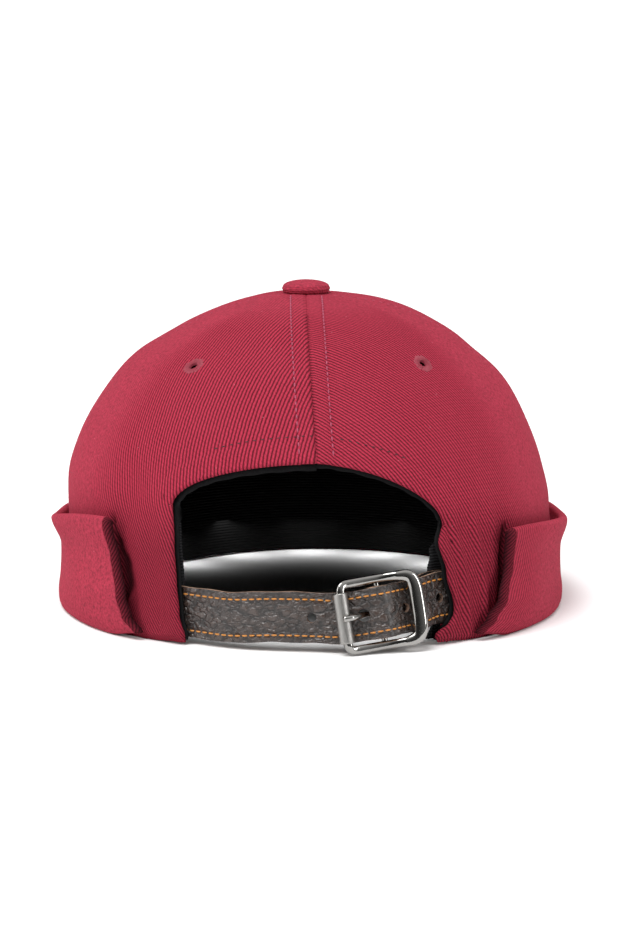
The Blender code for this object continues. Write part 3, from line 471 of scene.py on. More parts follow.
def darkness(turn, point):
    """Third cloth coordinate: above 0 where painted shade darkens the slots beside the cuff's ends, the
    needle holes, the middle seams' lines and the cloth low beside the opening, below 0 where the nap is
    brushed up and hides the ribs."""
    height, aside = point[..., 2], np.abs(turn) / DEGREE
    # Painted shade in the slots beside the cuff's ends
    dark = in_slot(turn / DEGREE, height)
    # Painted shade in the needle holes
    for hole_turn, hole_height in NEEDLE_HOLES:
        hole = crown_point(hole_turn * DEGREE, level_at(hole_height * MM))
        away = np.linalg.norm(point - hole, axis=-1)
        dark = np.maximum(dark, 1.1 * np.exp(-((away / NEEDLE_HOLE) ** 4)))
    # Painted shade along the middle seams' lines, below the button
    below_button = height < 105 * MM
    dark = np.maximum(dark, 0.85 * np.exp(-((from_seam(point)[0] / SEAM_LINE) ** 2)) * below_button)
    # Painted shade on the cloth low down beside the opening, between the cuffs
    low = (1 - eased((height - 30 * MM) / (22 * MM))) * (np.cos(turn) > 0)
    dark = np.maximum(dark, 0.26 * low * (1 - eased((aside - 48) / 10)))
    # The nap is up on the sides of the cap, less so towards the front, and round the button
    from_top = np.hypot(point[..., 0], point[..., 1])
    nap = eased((aside - 50) / 16) * (1 - 0.5 * eased((aside - 85) / 30))
    nap = nap + 0.8 * (1 - eased((from_top - 22 * MM) / (24 * MM)))
    return np.where(dark > 0.02, dark, 0.0) - 0.8 * np.clip(nap, 0, 1) * (dark < 0.05)


def cloth_point(turn, level, outward=0.0):
    """Points a distance outside the dressed cloth."""
    point, normal = crown_frame(turn, level)
    relief = cloth_relief(np.asarray(turn), point) + outward
    return point + normal * relief[..., None]


def flat_cloth(turn, level, middle, steps=600):
    """Where points of a panel lay on the flat cloth, across and down from the panel's tip, in
    millimetres, with the panel's middle line laid straight."""
    levels = np.linspace(0.001, 1, steps)
    line = smooth_face(np.full(steps, middle), levels)
    fallen = np.concatenate([[0], np.cumsum(np.linalg.norm(np.diff(line, axis=0), axis=1))])
    length = np.where(np.cos(turn) > 0, CROWN_BACK_LENGTH, CROWN_FRONT_LENGTH)

    def radius(at_turn, at_level):
        reach = crown_profile(at_level)[0]
        return reach * np.hypot(CROWN_HALF_WIDTH * np.cos(at_turn), length * np.sin(at_turn))

    half = (turn + middle) / 2
    round_it = radius(middle, level) + 4 * radius(half, level) + radius(turn, level)
    along = (turn - middle) * round_it / 6
    size = crown_profile(levels)[0] * (CROWN_HALF_WIDTH + CROWN_BACK_LENGTH) / 2
    steepness = np.clip(np.gradient(size, fallen), 0, 1)
    swing = (turn - middle) * np.interp(level, levels, steepness)
    down = np.interp(level, levels, fallen)
    across = along * np.sinc(swing / np.pi)
    down = down - along * np.sin(swing / 2) * np.sinc(swing / 2 / np.pi)
    return across / MM, down / MM


def ribs_of(across, down, lean, pitch, sheared=0.0):
    """Twill coordinates: rib number, and millimetres along the rib, for ribs that lean
    anticlockwise from the cloth's upright by an angle."""
    rib = (across * math.cos(lean) - down * math.sin(lean) - sheared) / pitch
    return np.stack([rib, -across * math.sin(lean) - down * math.cos(lean), 0 * rib], axis=-1)


# Meshes


def grid_faces(columns, rows, keep=None, closed=False):
    """Quads of a grid of points stored row by row; a closed grid joins its last row to its first."""
    count = (columns + 1) * (rows if closed else rows + 1)
    index = np.arange(count).reshape(-1, columns + 1)
    after = np.roll(index, -1, axis=0) if closed else index[1:]
    before = index if closed else index[:-1]
    quads = np.stack([before[:, :-1], after[:, :-1], after[:, 1:], before[:, 1:]], axis=-1)
    return quads[keep] if keep is not None else quads.reshape(-1, 4)


def wrapped_faces(index):
    """Quads of a grid of point numbers whose last row joins its first."""
    after = np.roll(index, -1, 0)
    return np.stack([index[:, :-1], index[:, 1:], after[:, 1:], after[:, :-1]], axis=-1).reshape(-1, 4)


def closed_faces(index):
    """Quads of a grid of point numbers that is closed both ways."""
    after = np.roll(index, -1, 0)
    return np.stack([index, np.roll(index, -1, 1), np.roll(after, -1, 1), after], axis=-1).reshape(-1, 4)


def drop_unused(faces, *fields):
    """Keep only the points that faces use."""
    used, flat = np.unique(faces, return_inverse=True)
    return (flat.reshape(faces.shape), *[field[used] for field in fields])


def face_out(points, faces, middle):
    """Turn all faces so that they look away from the middle."""
    corners = points[faces]
    normal = np.cross(corners[:, 2] - corners[:, 0], corners[:, 3] - corners[:, 1])
    outward = (normal * (corners.mean(axis=1) - middle)).sum()
    return faces if outward > 0 else faces[:, ::-1]


def loops_of(faces):
    """The open edges of a mesh as loops of points, each with the mesh on its left."""
    pairs = np.concatenate([faces, np.roll(faces, -1, axis=1)]).reshape(2, -1)
    pairs = {(a, b) for a, b in zip(*pairs.tolist()) if a != b}
    following = {a: b for a, b in sorted(pairs) if (b, a) not in pairs}
    loops = []
    while following:
        start = min(following)
        loop = [start]
        while following.get(loop[-1]) is not None:
            point = following.pop(loop[-1])
            if point == start:
                break
            loop.append(point)
        loops.append(np.array(loop))
    return loops


def roll_edges(points, faces, cloth, normals, radius, flange, steps=6, shortest=60):
    """Turn the cloth's long edges in over a half round, with a flange behind, and carry its ribs
    on over them. A loop of fewer points than the shortest, such as a vent's, stays plain."""
    centre, centre_cloth = np.zeros_like(points), np.zeros_like(points)
    uses = np.zeros(len(points))
    least = 0.05 * MM
    for corner in range(4):
        np.add.at(centre, faces[:, corner], points[faces].mean(axis=1))
        np.add.at(centre_cloth, faces[:, corner], cloth[faces].mean(axis=1))
        np.add.at(uses, faces[:, corner], 1)
    for loop in loops_of(faces):
        if len(loop) < shortest:
            continue
        place, normal, fold = points[loop], normals[loop], radius(points[loop])[:, None]
        along = np.roll(place, -1, axis=0) - np.roll(place, 1, axis=0)
        run = np.linalg.norm(along, axis=1, keepdims=True)
        off = np.cross(unit(along), normal)
        for _ in range(2):
            off = unit(np.roll(off, 1, axis=0) + 2 * off + np.roll(off, -1, axis=0))
        inner = place - centre[loop] / uses[loop, None]
        rib_run = (np.roll(cloth[loop], -1, axis=0) - np.roll(cloth[loop], 1, axis=0)) / run
        away = np.maximum((inner * off).sum(axis=1, keepdims=True), least)
        beside = (inner * unit(along)).sum(axis=1, keepdims=True)
        rib_off = (cloth[loop] - centre_cloth[loop] / uses[loop, None] - beside * rib_run) / away
        ring = loop
        for step in range(1, steps + 2):
            swing = min(step, steps) / steps * np.pi
            straight = flange if step > steps else 0.0
            out = fold * math.sin(swing) - straight
            arc = fold * swing + straight
            fresh = place + off * out - normal * fold * (1 - math.cos(swing))
            new_ring = len(points) + np.arange(len(loop))
            points = np.concatenate([points, fresh])
            fresh_cloth = cloth[loop] + rib_off * arc
            fresh_cloth[:, 2] = cloth[loop, 2]
            cloth = np.concatenate([cloth, fresh_cloth])
            quads = np.stack([np.roll(ring, -1), ring, new_ring, np.roll(new_ring, -1)], axis=-1)
            faces = np.concatenate([faces, quads])
            ring = new_ring
    return points, faces, cloth


def add_object(name, data):
    """An object in the scene that holds some data, such as a light."""
    made = bpy.data.objects.new(name, data)
    bpy.context.scene.collection.objects.link(made)
    return made


def add_piece(name, points, faces, materials, cloth=None, face_material=None, replaces=()):
    """A smooth shaded piece of the cap, standing for the solids that it replaces."""
    mesh = bpy.data.meshes.new(name)
    mesh.from_pydata(np.asarray(points).tolist(), [], [list(face) for face in faces])
    mesh.validate()
    for material in materials if isinstance(materials, (list, tuple)) else [materials]:
        mesh.materials.append(material)
    if face_material is not None:
        mesh.polygons.foreach_set("material_index", np.asarray(face_material, np.int32))
    if cloth is not None:
        layer = mesh.attributes.new("cloth", "FLOAT_VECTOR", "POINT")
        layer.data.foreach_set("vector", np.asarray(cloth, np.float32).ravel())
    mesh.shade_smooth()
    piece = add_object(name, mesh)
    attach(piece, "root")
    if replaces:
        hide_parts(*replaces)
    return piece


def tube_mesh(path, radii, sides, upward):
    """Points and faces of a round bar along a path, with flat ends. Upward is a direction that the
    path doesn't take, or one for each of its points."""
    path = np.asarray(path, float)
    along = unit(np.gradient(path, axis=0))
    first = unit(np.cross(along, upward))
    second = np.cross(along, first)
    swing = np.linspace(0, 2 * np.pi, sides, endpoint=False)
    ring = first[:, None] * np.cos(swing)[:, None] + second[:, None] * np.sin(swing)[:, None]
    points = path[:, None] + ring * np.asarray(radii)[:, None, None]
    index = np.arange(len(path) * sides).reshape(-1, sides)
    before, after = index[:-1], index[1:]
    quads = np.stack([before, np.roll(before, -1, 1), np.roll(after, -1, 1), after], axis=-1)
    faces = [list(face) for face in quads.reshape(-1, 4)]
    return points.reshape(-1, 3), faces + [list(index[0][::-1]), list(index[-1])]


def run_along(path):
    """Length along a path up to each of its points."""
    return np.concatenate([[0], np.cumsum(np.linalg.norm(np.diff(path, axis=0), axis=1))])


def stitches_along(path, normal, pitch, share, radius, lift, start=0.0):
    """Points and faces of short threads that come up out of the cloth and go down again. Each
    covers a share of the pitch, and its middle is lifted by so many of its radii."""
    run = run_along(path)
    points, faces = [], []
    # Each ends with a dip of so many radii into the cloth
    steps, sides, dip = np.linspace(0, 1, 7), 7, 1.2
    for first in np.arange(start, run[-1] - share * pitch, pitch):
        place = first + steps * share * pitch
        line = np.stack([np.interp(place, run, path[:, axis]) for axis in range(3)], axis=-1)
        out = unit(np.stack([np.interp(place, run, normal[:, axis]) for axis in range(3)], axis=-1))
        rise = radius * ((lift + dip) * np.sin(np.pi * steps) ** 0.55 - dip)
        thickness = radius * (0.75 + 0.25 * np.sin(np.pi * steps))
        fresh, quads = tube_mesh(line + out * rise[:, None], thickness, sides, upward=out)
        faces += [[corner + len(points) * len(fresh) for corner in face] for face in quads]
        points.append(fresh)
    return np.concatenate(points), faces


def join(parts):
    """One set of points and faces out of several."""
    points, faces, count = [], [], 0
    for fresh, quads in parts:
        points.append(fresh)
        faces += [[int(corner) + count for corner in face] for face in quads]
        count += len(fresh)
    return np.concatenate(points), faces


# Materials


def linear(colour):
    """The linear value of an sRGB colour written as hex."""
    parts = [int(colour[start:start + 2], 16) / 255 for start in (1, 3, 5)]
    return (*[c / 12.92 if c <= 0.04045 else ((c + 0.055) / 1.055) ** 2.4 for c in parts], 1.0)


def per_metre(size):
    """How many features of a size in millimetres lie in a metre, which is a pattern's scale."""
    return 1 / (size * MM)


def add_node(tree, kind, inputs=(), out=0, **settings):
    """One output of a new shader node with its settings. Its inputs, given in their order or by
    name or number, are set to values or linked to other nodes' outputs."""
    made = tree.nodes.new("ShaderNode" + kind)
    for name, value in settings.items():
        setattr(made, name, value)
    for place, value in (inputs if isinstance(inputs, dict) else dict(enumerate(inputs))).items():
        if isinstance(value, bpy.types.NodeSocket):
            tree.links.new(value, made.inputs[place])
        else:
            made.inputs[place].default_value = value
    return made.outputs[out]


def start_material(name, **shader):
    """A material with its shader's own values set, and its node tree and shader."""
    material = bpy.data.materials.new(name)
    material.use_nodes = True
    tree = material.node_tree
    surface = tree.nodes["Principled BSDF"]
    for socket, value in shader.items():
        surface.inputs[socket.replace("_", " ")].default_value = value
    return material, tree, surface


def end_material(tree, surface, colour, relief, depth, strength=1.0):
    """Give the shader its colour, and a relief that stands up to a depth in millimetres."""
    tree.links.new(colour, surface.inputs["Base Color"])
    bump = add_node(tree, "Bump", {"Strength": strength, "Distance": depth * MM, "Height": relief})
    tree.links.new(bump, surface.inputs["Normal"])


def cotton_twill(name, crest, shaded_valley, depth):
    """Brushed heavy cotton twill, garment washed. The raised ribs take the crest colour and the lines
    between them the far darker valley colour, which is painted shade. Where the nap is brushed up it
    hides the ribs, and the cloth has a soft, slightly mottled bloom. The third cloth coordinate says where
    the nap is up and where painted shade darkens the slots, needle holes, seam lines and cuff's rope ends."""
    material, tree, surface = start_material(
        name, Roughness=0.9, IOR=1.5, Specular_IOR_Level=0.08, Sheen_Weight=0.13,
        Sheen_Roughness=0.5, Sheen_Tint=linear("#E03A54"))
    place = add_node(tree, "TexCoord", out="Object")
    weave = add_node(tree, "Attribute", out="Vector", attribute_name="cloth")
    weave = add_node(tree, "SeparateXYZ", (weave,)).node.outputs
    dark = add_node(tree, "Math", (weave["Z"], 0.0), operation="MAXIMUM", use_clamp=True)
    nap = add_node(tree, "Math", (weave["Z"], -1.0), operation="MULTIPLY", use_clamp=True)

    # The ribs wander by up to a quarter of their spacing, over patches 2.4 mm across
    patches = add_node(tree, "TexNoise", {"Vector": place, "Scale": per_metre(2.38), "Detail": 2.0,
                                          "Roughness": 0.55})
    rib = add_node(tree, "Math", (patches, 0.45, weave["X"]), operation="MULTIPLY_ADD")
    across = add_node(tree, "Math", (rib,), operation="FRACT")
    number = add_node(tree, "Math", (rib,), operation="FLOOR")
    # Each rib is a row of slanting floats 1.7 mm long, as the yarns pass over and under. The
    # floats step on by 0.38 of their length from rib to rib and slant by 0.55 of it
    along = add_node(tree, "Math", (weave["Y"], 1.7), operation="DIVIDE")
    along = add_node(tree, "Math", (number, 0.38, along), operation="MULTIPLY_ADD")
    along = add_node(tree, "Math", (across, 0.55, along), operation="MULTIPLY_ADD")
    ridge = add_node(tree, "Math", (across, math.pi), operation="MULTIPLY")
    ridge = add_node(tree, "Math", (ridge,), operation="SINE")
    ridge = add_node(tree, "Math", (ridge, 1.3), operation="POWER")
    ends = add_node(tree, "Math", (along, math.pi), operation="MULTIPLY")
    ends = add_node(tree, "Math", (ends,), operation="SINE")
    ends = add_node(tree, "Math", (ends,), operation="ABSOLUTE")
    ends = add_node(tree, "Math", (ends, 0.5), operation="POWER")
    ends = add_node(tree, "Math", (ends, 0.32, 0.68), operation="MULTIPLY_ADD")
    thread = add_node(tree, "Math", (ridge, ends), operation="MULTIPLY")

    # The nap covers the ribs with one even tone. Its fibres lie in tufts 1 mm across
    cover = add_node(tree, "Math", (nap, 0.97), operation="MULTIPLY")
    bloom = add_node(tree, "Math", (0.60, thread), operation="SUBTRACT")
    thread = add_node(tree, "Math", (bloom, cover, thread), operation="MULTIPLY_ADD")
    # Single fibres are too fine to show, so the fuzz is drawn at 0.4 mm
    fuzz = add_node(tree, "TexNoise", {"Vector": place, "Scale": per_metre(0.385), "Detail": 4.0,
                                       "Roughness": 0.7})
    relief = add_node(tree, "Math", (fuzz, 0.45, thread), operation="MULTIPLY_ADD")
    fuzz = add_node(tree, "Math", (fuzz, 0.5), operation="SUBTRACT")
    tone = add_node(tree, "Math", (fuzz, 0.7, thread), operation="MULTIPLY_ADD", use_clamp=True)
    tufts = add_node(tree, "TexNoise", {"Vector": place, "Scale": per_metre(1.0), "Detail": 3.0,
                                        "Roughness": 0.6})
    tufts = add_node(tree, "Math", (tufts, 0.5), operation="SUBTRACT")
    tufts = add_node(tree, "Math", (tufts, nap), operation="MULTIPLY")
    tone = add_node(tree, "Math", (tufts, 1.8, tone), operation="MULTIPLY_ADD", use_clamp=True)

    # Washing has faded it a little in patches 26 mm across, and the nap is a shade paler
    faded = add_node(tree, "TexNoise", {"Vector": place, "Scale": per_metre(26.3), "Detail": 4.0,
                                        "Roughness": 0.6})
    faded = add_node(tree, "Math", (faded, 0.5), operation="SUBTRACT")
    faded = add_node(tree, "Math", (faded, 0.9, 0.5), operation="MULTIPLY_ADD", use_clamp=True)
    # Painted shade: the lines between the ribs take the dark valley colour
    colour = add_node(tree, "Mix", {0: tone, 6: linear(shaded_valley), 7: linear(crest)}, 2, data_type="RGBA")
    washed = add_node(tree, "Mix", {0: 0.10, 6: colour, 7: linear("#BE5263")}, 2, data_type="RGBA")
    colour = add_node(tree, "Mix", {0: faded, 6: colour, 7: washed}, 2, data_type="RGBA")
    paler = add_node(tree, "Math", (nap, 0.07), operation="MULTIPLY")
    colour = add_node(tree, "Mix", {0: paler, 6: colour, 7: linear("#D2707F")}, 2, data_type="RGBA")

    # Specks of lint up to half a millimetre across, about 5 mm apart
    lint_and_painted_light = add_node(tree, "TexVoronoi", {"Vector": place, "Scale": per_metre(5.26)})
    lint_and_painted_light = add_node(tree, "MapRange", (lint_and_painted_light, 0.05, 0.02, 0.0, 0.4))
    colour = add_node(tree, "Mix", {0: lint_and_painted_light, 6: colour, 7: linear("#D98C98")}, 2, data_type="RGBA")
    # Painted shade, nearly black, where the third cloth coordinate is above 0
    dark = add_node(tree, "Math", (dark, 0.94), operation="MULTIPLY")
    colour = add_node(tree, "Mix", {0: dark, 6: colour, 7: linear("#16060A")}, 2, data_type="RGBA")
    end_material(tree, surface, colour, relief, depth)
    return material


def black_cotton(name, thread, depth):
    """Black cotton lining, plain woven and matt, so that the inside stays dark. Away from its folded
    edge it is painted nearly black, as painted shade inside the cap; the edge keeps the dark grey of the
    cloth itself. Threads are given by their spacing."""
    material, tree, surface = start_material(name, Roughness=0.95, IOR=1.5, Specular_IOR_Level=0.02)
    place = add_node(tree, "TexCoord", out="Object")
    unshaded_edge = add_node(tree, "Attribute", out="Vector", attribute_name="cloth")
    unshaded_edge = add_node(tree, "SeparateXYZ", (unshaded_edge,), "Z")
    fuzz = add_node(tree, "TexNoise", {"Vector": place, "Scale": per_metre(thread), "Detail": 3.0,
                                       "Roughness": 0.6})
    # Painted shade: away from the edge the lining is painted nearly black
    colour = add_node(tree, "Mix", {0: fuzz, 6: linear("#010101"), 7: linear("#030303")}, 2,
                      data_type="RGBA")
    edge = add_node(tree, "Mix", {0: fuzz, 6: linear("#0C0C0C"), 7: linear("#252526")}, 2,
                    data_type="RGBA")
    colour = add_node(tree, "Mix", {0: unshaded_edge, 6: colour, 7: edge}, 2, data_type="RGBA")
    end_material(tree, surface, colour, fuzz, depth)
    return material


def ribbed_ribbon(name, thread, depth):
    """Black ribbed ribbon with cross ribs 1 mm apart. At its ends, where the light reaches them, the ribs
    are painted as fine dark and grey lines, as painted light; further in it is painted nearly black, as
    painted shade."""
    material, tree, surface = start_material(name, Roughness=0.8, IOR=1.5, Specular_IOR_Level=0.08)
    weave = add_node(tree, "Attribute", out="Vector", attribute_name="cloth")
    weave = add_node(tree, "SeparateXYZ", (weave,)).node.outputs
    place = add_node(tree, "TexCoord", out="Object")
    fuzz = add_node(tree, "TexNoise", {"Vector": place, "Scale": per_metre(thread), "Detail": 3.0,
                                       "Roughness": 0.6})
    rib = add_node(tree, "Math", (weave["Y"], math.pi), operation="MULTIPLY")
    rib = add_node(tree, "Math", (rib,), operation="SINE")
    rib = add_node(tree, "Math", (rib,), operation="ABSOLUTE")
    relief = add_node(tree, "Math", (fuzz, 0.3, rib), operation="MULTIPLY_ADD")
    # Painted shade further in, and painted light on the ribs at the ends
    inside = add_node(tree, "Mix", {0: rib, 6: linear("#020202"), 7: linear("#060606")}, 2,
                      data_type="RGBA")
    outside = add_node(tree, "Mix", {0: rib, 6: linear("#0A0A0A"), 7: linear("#2F2F31")}, 2,
                       data_type="RGBA")
    colour = add_node(tree, "Mix", {0: weave["Z"], 6: inside, 7: outside}, 2, data_type="RGBA")
    end_material(tree, surface, colour, relief, depth)
    return material


def sewing_thread(name, light, dark, gloss=0.55):
    """Twisted polyester sewing thread, a little shiny, darker in the turns of its twist, which
    is 0.3 mm long."""
    material, tree, surface = start_material(name, Roughness=gloss, IOR=1.5)
    place = add_node(tree, "TexCoord", out="Object")
    twist = add_node(tree, "TexNoise", {"Vector": place, "Scale": per_metre(0.3125), "Detail": 2.0,
                                        "Roughness": 0.55})
    colour = add_node(tree, "Mix", {0: twist, 6: linear(dark), 7: linear(light)}, 2, data_type="RGBA")
    end_material(tree, surface, colour, twist, 0.08, 0.6)
    return material


def pebbled_leather(name, pebble, wrinkle, depth):
    """Milled cowhide, finished semi-gloss. Smooth drawn-out pebbles stand between narrow creases,
    with longer wrinkles where it has been bent. The shoulders of the pebbles glint, and the
    creases are painted dark, as painted shade."""
    material, tree, surface = start_material(name, IOR=1.5, Specular_IOR_Level=0.6, Coat_Weight=0.25,
                                             Coat_Roughness=0.22)
    place = add_node(tree, "TexCoord", out="Object")
    # The pattern is bent by up to 1.1 mm over 2.4 mm, then drawn out and turned by 38 degrees
    bent = add_node(tree, "TexNoise", {"Vector": place, "Scale": per_metre(2.38), "Detail": 2.0}, "Color")
    bent = add_node(tree, "VectorMath", (bent, (0.5, 0.5, 0.5)), operation="SUBTRACT")
    bent = add_node(tree, "VectorMath", (bent, (2.2 * MM,) * 3, place), operation="MULTIPLY_ADD")
    bent = add_node(tree, "Mapping", {"Vector": bent, "Rotation": (0.0, 38 * DEGREE, 0.0),
                                      "Scale": (0.55, 1.0, 1.15)})
    creases = []
    for size, width in ((pebble, 0.24), (wrinkle, 0.2)):
        crease = add_node(tree, "TexVoronoi", {"Vector": bent, "Scale": per_metre(size)},
                          feature="DISTANCE_TO_EDGE")
        creases.append(add_node(tree, "MapRange", (crease, 0.0, width, 0.0, 1.0),
                                interpolation_type="SMOOTHSTEP"))
    # Pores are too fine to show, so they are drawn at 0.4 mm
    pores = add_node(tree, "TexNoise", {"Vector": place, "Scale": per_metre(0.385), "Detail": 3.0,
                                        "Roughness": 0.6})
    relief = add_node(tree, "Math", (creases[1], 0.9, creases[0]), operation="MULTIPLY_ADD")
    relief = add_node(tree, "Math", (pores, 0.05, relief), operation="MULTIPLY_ADD")
    tone = add_node(tree, "Math", (pores, 0.1), operation="MULTIPLY")
    tone = add_node(tree, "Math", (relief, 0.48, tone), operation="MULTIPLY_ADD", use_clamp=True)
    # Painted shade: the colour darkens into the creases
    colour = add_node(tree, "Mix", {0: tone, 6: linear("#0E0908"), 7: linear("#40342F")}, 2,
                      data_type="RGBA")
    gloss = add_node(tree, "MapRange", (relief, 0.4, 1.9, 0.5, 0.24))
    tree.links.new(gloss, surface.inputs["Roughness"])
    end_material(tree, surface, colour, relief, depth)
    return material


def raw_leather(name, light, dark):
    """The cut edge and flesh side of vegetable-tanned leather, matt and fibrous, with bundles of
    fibres 0.7 mm across."""
    material, tree, surface = start_material(name, Roughness=0.9, IOR=1.5)
    place = add_node(tree, "TexCoord", out="Object")
    fibre = add_node(tree, "TexNoise", {"Vector": place, "Scale": per_metre(0.714), "Detail": 5.0,
                                        "Roughness": 0.7})
    colour = add_node(tree, "Mix", {0: fibre, 6: linear(dark), 7: linear(light)}, 2, data_type="RGBA")
    end_material(tree, surface, colour, fibre, 0.12, 0.8)
    return material


def nickel(name, roughness, spread, grain, depth, stretched=False):
    """Nickel-plated brass. Polished it mirrors the studio with faint swirls from the buffing
    wheel; brushed it spreads each light into a band across the fine lines left by the belt. The
    grain is the size of those marks. A stretched one follows the roller's own coordinates."""
    material, tree, surface = start_material(name, Metallic=1.0)
    if stretched:
        place, lines_scale = add_node(tree, "Attribute", out="Vector", attribute_name="cloth"), 1 / grain
    else:
        place, lines_scale = add_node(tree, "TexCoord", out="Object"), per_metre(grain)
    lines, wear = [add_node(tree, "TexNoise", {"Vector": place, "Scale": scale, "Detail": 3.0,
                                               "Roughness": 0.6})
                   for scale in (lines_scale, lines_scale / 8)]
    shine = add_node(tree, "MapRange", (lines, 0.3, 0.7, roughness, roughness + spread))
    tree.links.new(shine, surface.inputs["Roughness"])
    colour = add_node(tree, "Mix", {0: wear, 6: linear("#8E8C89"), 7: linear("#A9A7A4")}, 2,
                      data_type="RGBA")
    end_material(tree, surface, colour, lines, depth)
    return material


def paper_floor(name):
    """Seamless white studio paper, matt, with the faintest tooth, drawn at 1.1 mm."""
    material, tree, surface = start_material(name, Roughness=0.95, IOR=1.5, Specular_IOR_Level=0.1)
    place = add_node(tree, "TexCoord", out="Object")
    tooth = add_node(tree, "TexNoise", {"Vector": place, "Scale": per_metre(1.11), "Detail": 2.0,
                                        "Roughness": 0.55})
    colour = add_node(tree, "Mix", {0: tooth, 6: linear("#F4F4F4"), 7: linear("#F8F8F8")}, 2,
                      data_type="RGBA")
    tree.links.new(colour, surface.inputs["Base Color"])
    return material


TWILL = cotton_twill("brushed_cotton_twill", "#AE3046", "#33070E", depth=0.24)
SEAM_THREAD = sewing_thread("magenta_polyester_thread", "#BE4C68", "#5C1830")
# The hem's stitches are real; their thread is painted dark, as painted shade along the stitched line
HEM_THREAD = sewing_thread("hem_thread_with_painted_shade", "#4E101E", "#25060D")
RING_THREAD = sewing_thread("red_embroidery_thread", "#AE384C", "#5A1222", 0.6)
STRAP_THREAD = sewing_thread("waxed_gold_thread", "#DB9440", "#9A5A1C", 0.45)
LINING_CLOTH = black_cotton("black_cotton_lining", thread=0.555, depth=0.05)
RIBBON = ribbed_ribbon("black_ribbed_ribbon", thread=0.417, depth=0.2)
LEATHER = pebbled_leather("pebbled_brown_cowhide", pebble=2.33, wrinkle=5.26, depth=0.34)
LEATHER_EDGE = raw_leather("cut_leather_edge", "#C9A68C", "#8A6A55")
LEATHER_BACK = raw_leather("leather_flesh_side", "#8A6F5E", "#5A4438")
POLISHED = nickel("polished_nickel_plate", 0.05, 0.05, grain=2.0, depth=0.01)
BRUSHED = nickel("brushed_nickel_plate", 0.26, 0.14, grain=1 / 60, depth=0.03, stretched=True)


# Panels

ARCH_COLUMNS, SIDE_COLUMNS, FRONT_COLUMNS, UPPER_ROWS, LOWER_ROWS = 72, 84, 120, 104, 46
TIP_LEVEL = 0.022


def close_to_seams(steps):
    """Shares from 0 to 1 that lie closer together towards both ends."""
    share = np.linspace(0, 1, steps + 1)
    return share - 0.06 * np.sin(2 * np.pi * share)


def fold_size(point):
    """Radius of the turned-in edge: full at the opening and the hem, tight at the seams."""
    height, hem, change = point[:, 2], from_opening(point), 3 * MM
    loose = np.maximum(1 - eased((hem - change) / change), 1 - eased((height - MM) / change))
    at_side = np.abs(point[:, 1] - CROWN_SHIFT) < change
    tight = np.where(at_side, SIDE_ROLL, SEAM_ROLL)
    return tight + (np.where(at_side, SIDE_ROLL, HEM_ROLL) - tight) * loose


def build_panel(name, turn, level, keep, columns, rows, middle, lean, pitch, shear):
    """One panel of the crown, with its edges turned in and its vent hole."""
    points = cloth_point(turn, level)
    across, down = flat_cloth(turn, level, middle * DEGREE)
    cloth = ribs_of(across, down, lean * DEGREE, pitch, shear(turn, points[..., 2]))
    cloth[..., 2] = darkness(turn, points)
    points = lifted(points, turn)
    faces = face_out(points.reshape(-1, 3), grid_faces(columns, rows, keep), CROWN_MIDDLE)
    normals = crown_frame(turn, level)[1].reshape(-1, 3)
    points, cloth = points.reshape(-1, 3), cloth.reshape(-1, 3)
    vent_turn, vent_share = EYELETS[name]
    vent = crown_point(vent_turn * DEGREE, level_at(vent_share * CROWN_HEIGHT))
    solid = np.linalg.norm(points[faces].mean(axis=1) - vent, axis=1) > VENT_RADIUS
    faces, points, cloth, normals = drop_unused(faces[solid], points, cloth, normals)
    points, faces, cloth = roll_edges(points, faces, cloth, normals, fold_size, INNER_FLANGE)
    points[:, 2] = np.maximum(points[:, 2], ABOVE_FLOOR)
    add_piece("panel_" + name, points, faces, TWILL, cloth, replaces=[name + "_panel"])


def no_shear(turn, height):
    """The ribs of most panels lie as they were cut, at every turn and height."""
    return 0 * turn * height


def shear_left(turn, height):
    """The ribs swing over beside the opening, where the cloth is pulled down into the cuff."""
    turn = turn / DEGREE
    start, soft, foot = 50 * MM, 10 * MM, 20 * MM
    below = np.maximum(start - height, 0.0)
    swung = np.where(below < soft, below * below / (2 * soft), below - soft / 2) / MM
    low = 1 - eased((height - foot) / (25 * MM))
    # There are 1.55 mm of cloth to each degree of turn
    across = 1.55 * (turn + 45)
    return 0.5 * swung * (1 - eased((-turn - 58) / 22)) - 0.22 * low * across


def build_panels():
    """Four gores of twill, each cut with its own lie of the ribs. A row gives the panel's middle
    in degrees of turn, the lean of its ribs in degrees and how far apart they are in mm."""
    over = np.concatenate([close_to_seams(ARCH_COLUMNS), 1 + close_to_seams(SIDE_COLUMNS)[1:]])
    down = np.concatenate([np.linspace(0, 1, UPPER_ROWS + 1), 1 + np.linspace(0, 1, LOWER_ROWS + 1)[1:]])
    rows = UPPER_ROWS + LOWER_ROWS
    keep = np.ones((rows, ARCH_COLUMNS + SIDE_COLUMNS), bool)
    keep[UPPER_ROWS:, :ARCH_COLUMNS] = False
    gaps = 2 * SEAM_ROLL - SEAM_SQUEEZE, 2 * SIDE_ROLL - SIDE_SQUEEZE
    for name, side, middle, lean, pitch, shear in (
            ("back_left", LEFT, -45, 12, 1.28, shear_left), ("back_right", RIGHT, 45, 27, 1.12, no_shear)):
        turn, level = back_cut(side, over[None], down[:, None], *gaps, TIP_LEVEL, -HEM_ROLL, side["lip"])
        build_panel(name, turn, level, keep, keep.shape[1], rows, middle, lean, pitch, shear)
    over = close_to_seams(FRONT_COLUMNS)
    keep = np.ones((rows, FRONT_COLUMNS), bool)
    for name, side, middle, lean, pitch in (
            ("front_left", LEFT, -135, -27, 1.2), ("front_right", RIGHT, 135, -12, 1.2)):
        turn, level = front_cut(side, over[None], down[:, None], *gaps, TIP_LEVEL)
        build_panel(name, turn, level, keep, FRONT_COLUMNS, rows, middle, lean, pitch, no_shear)


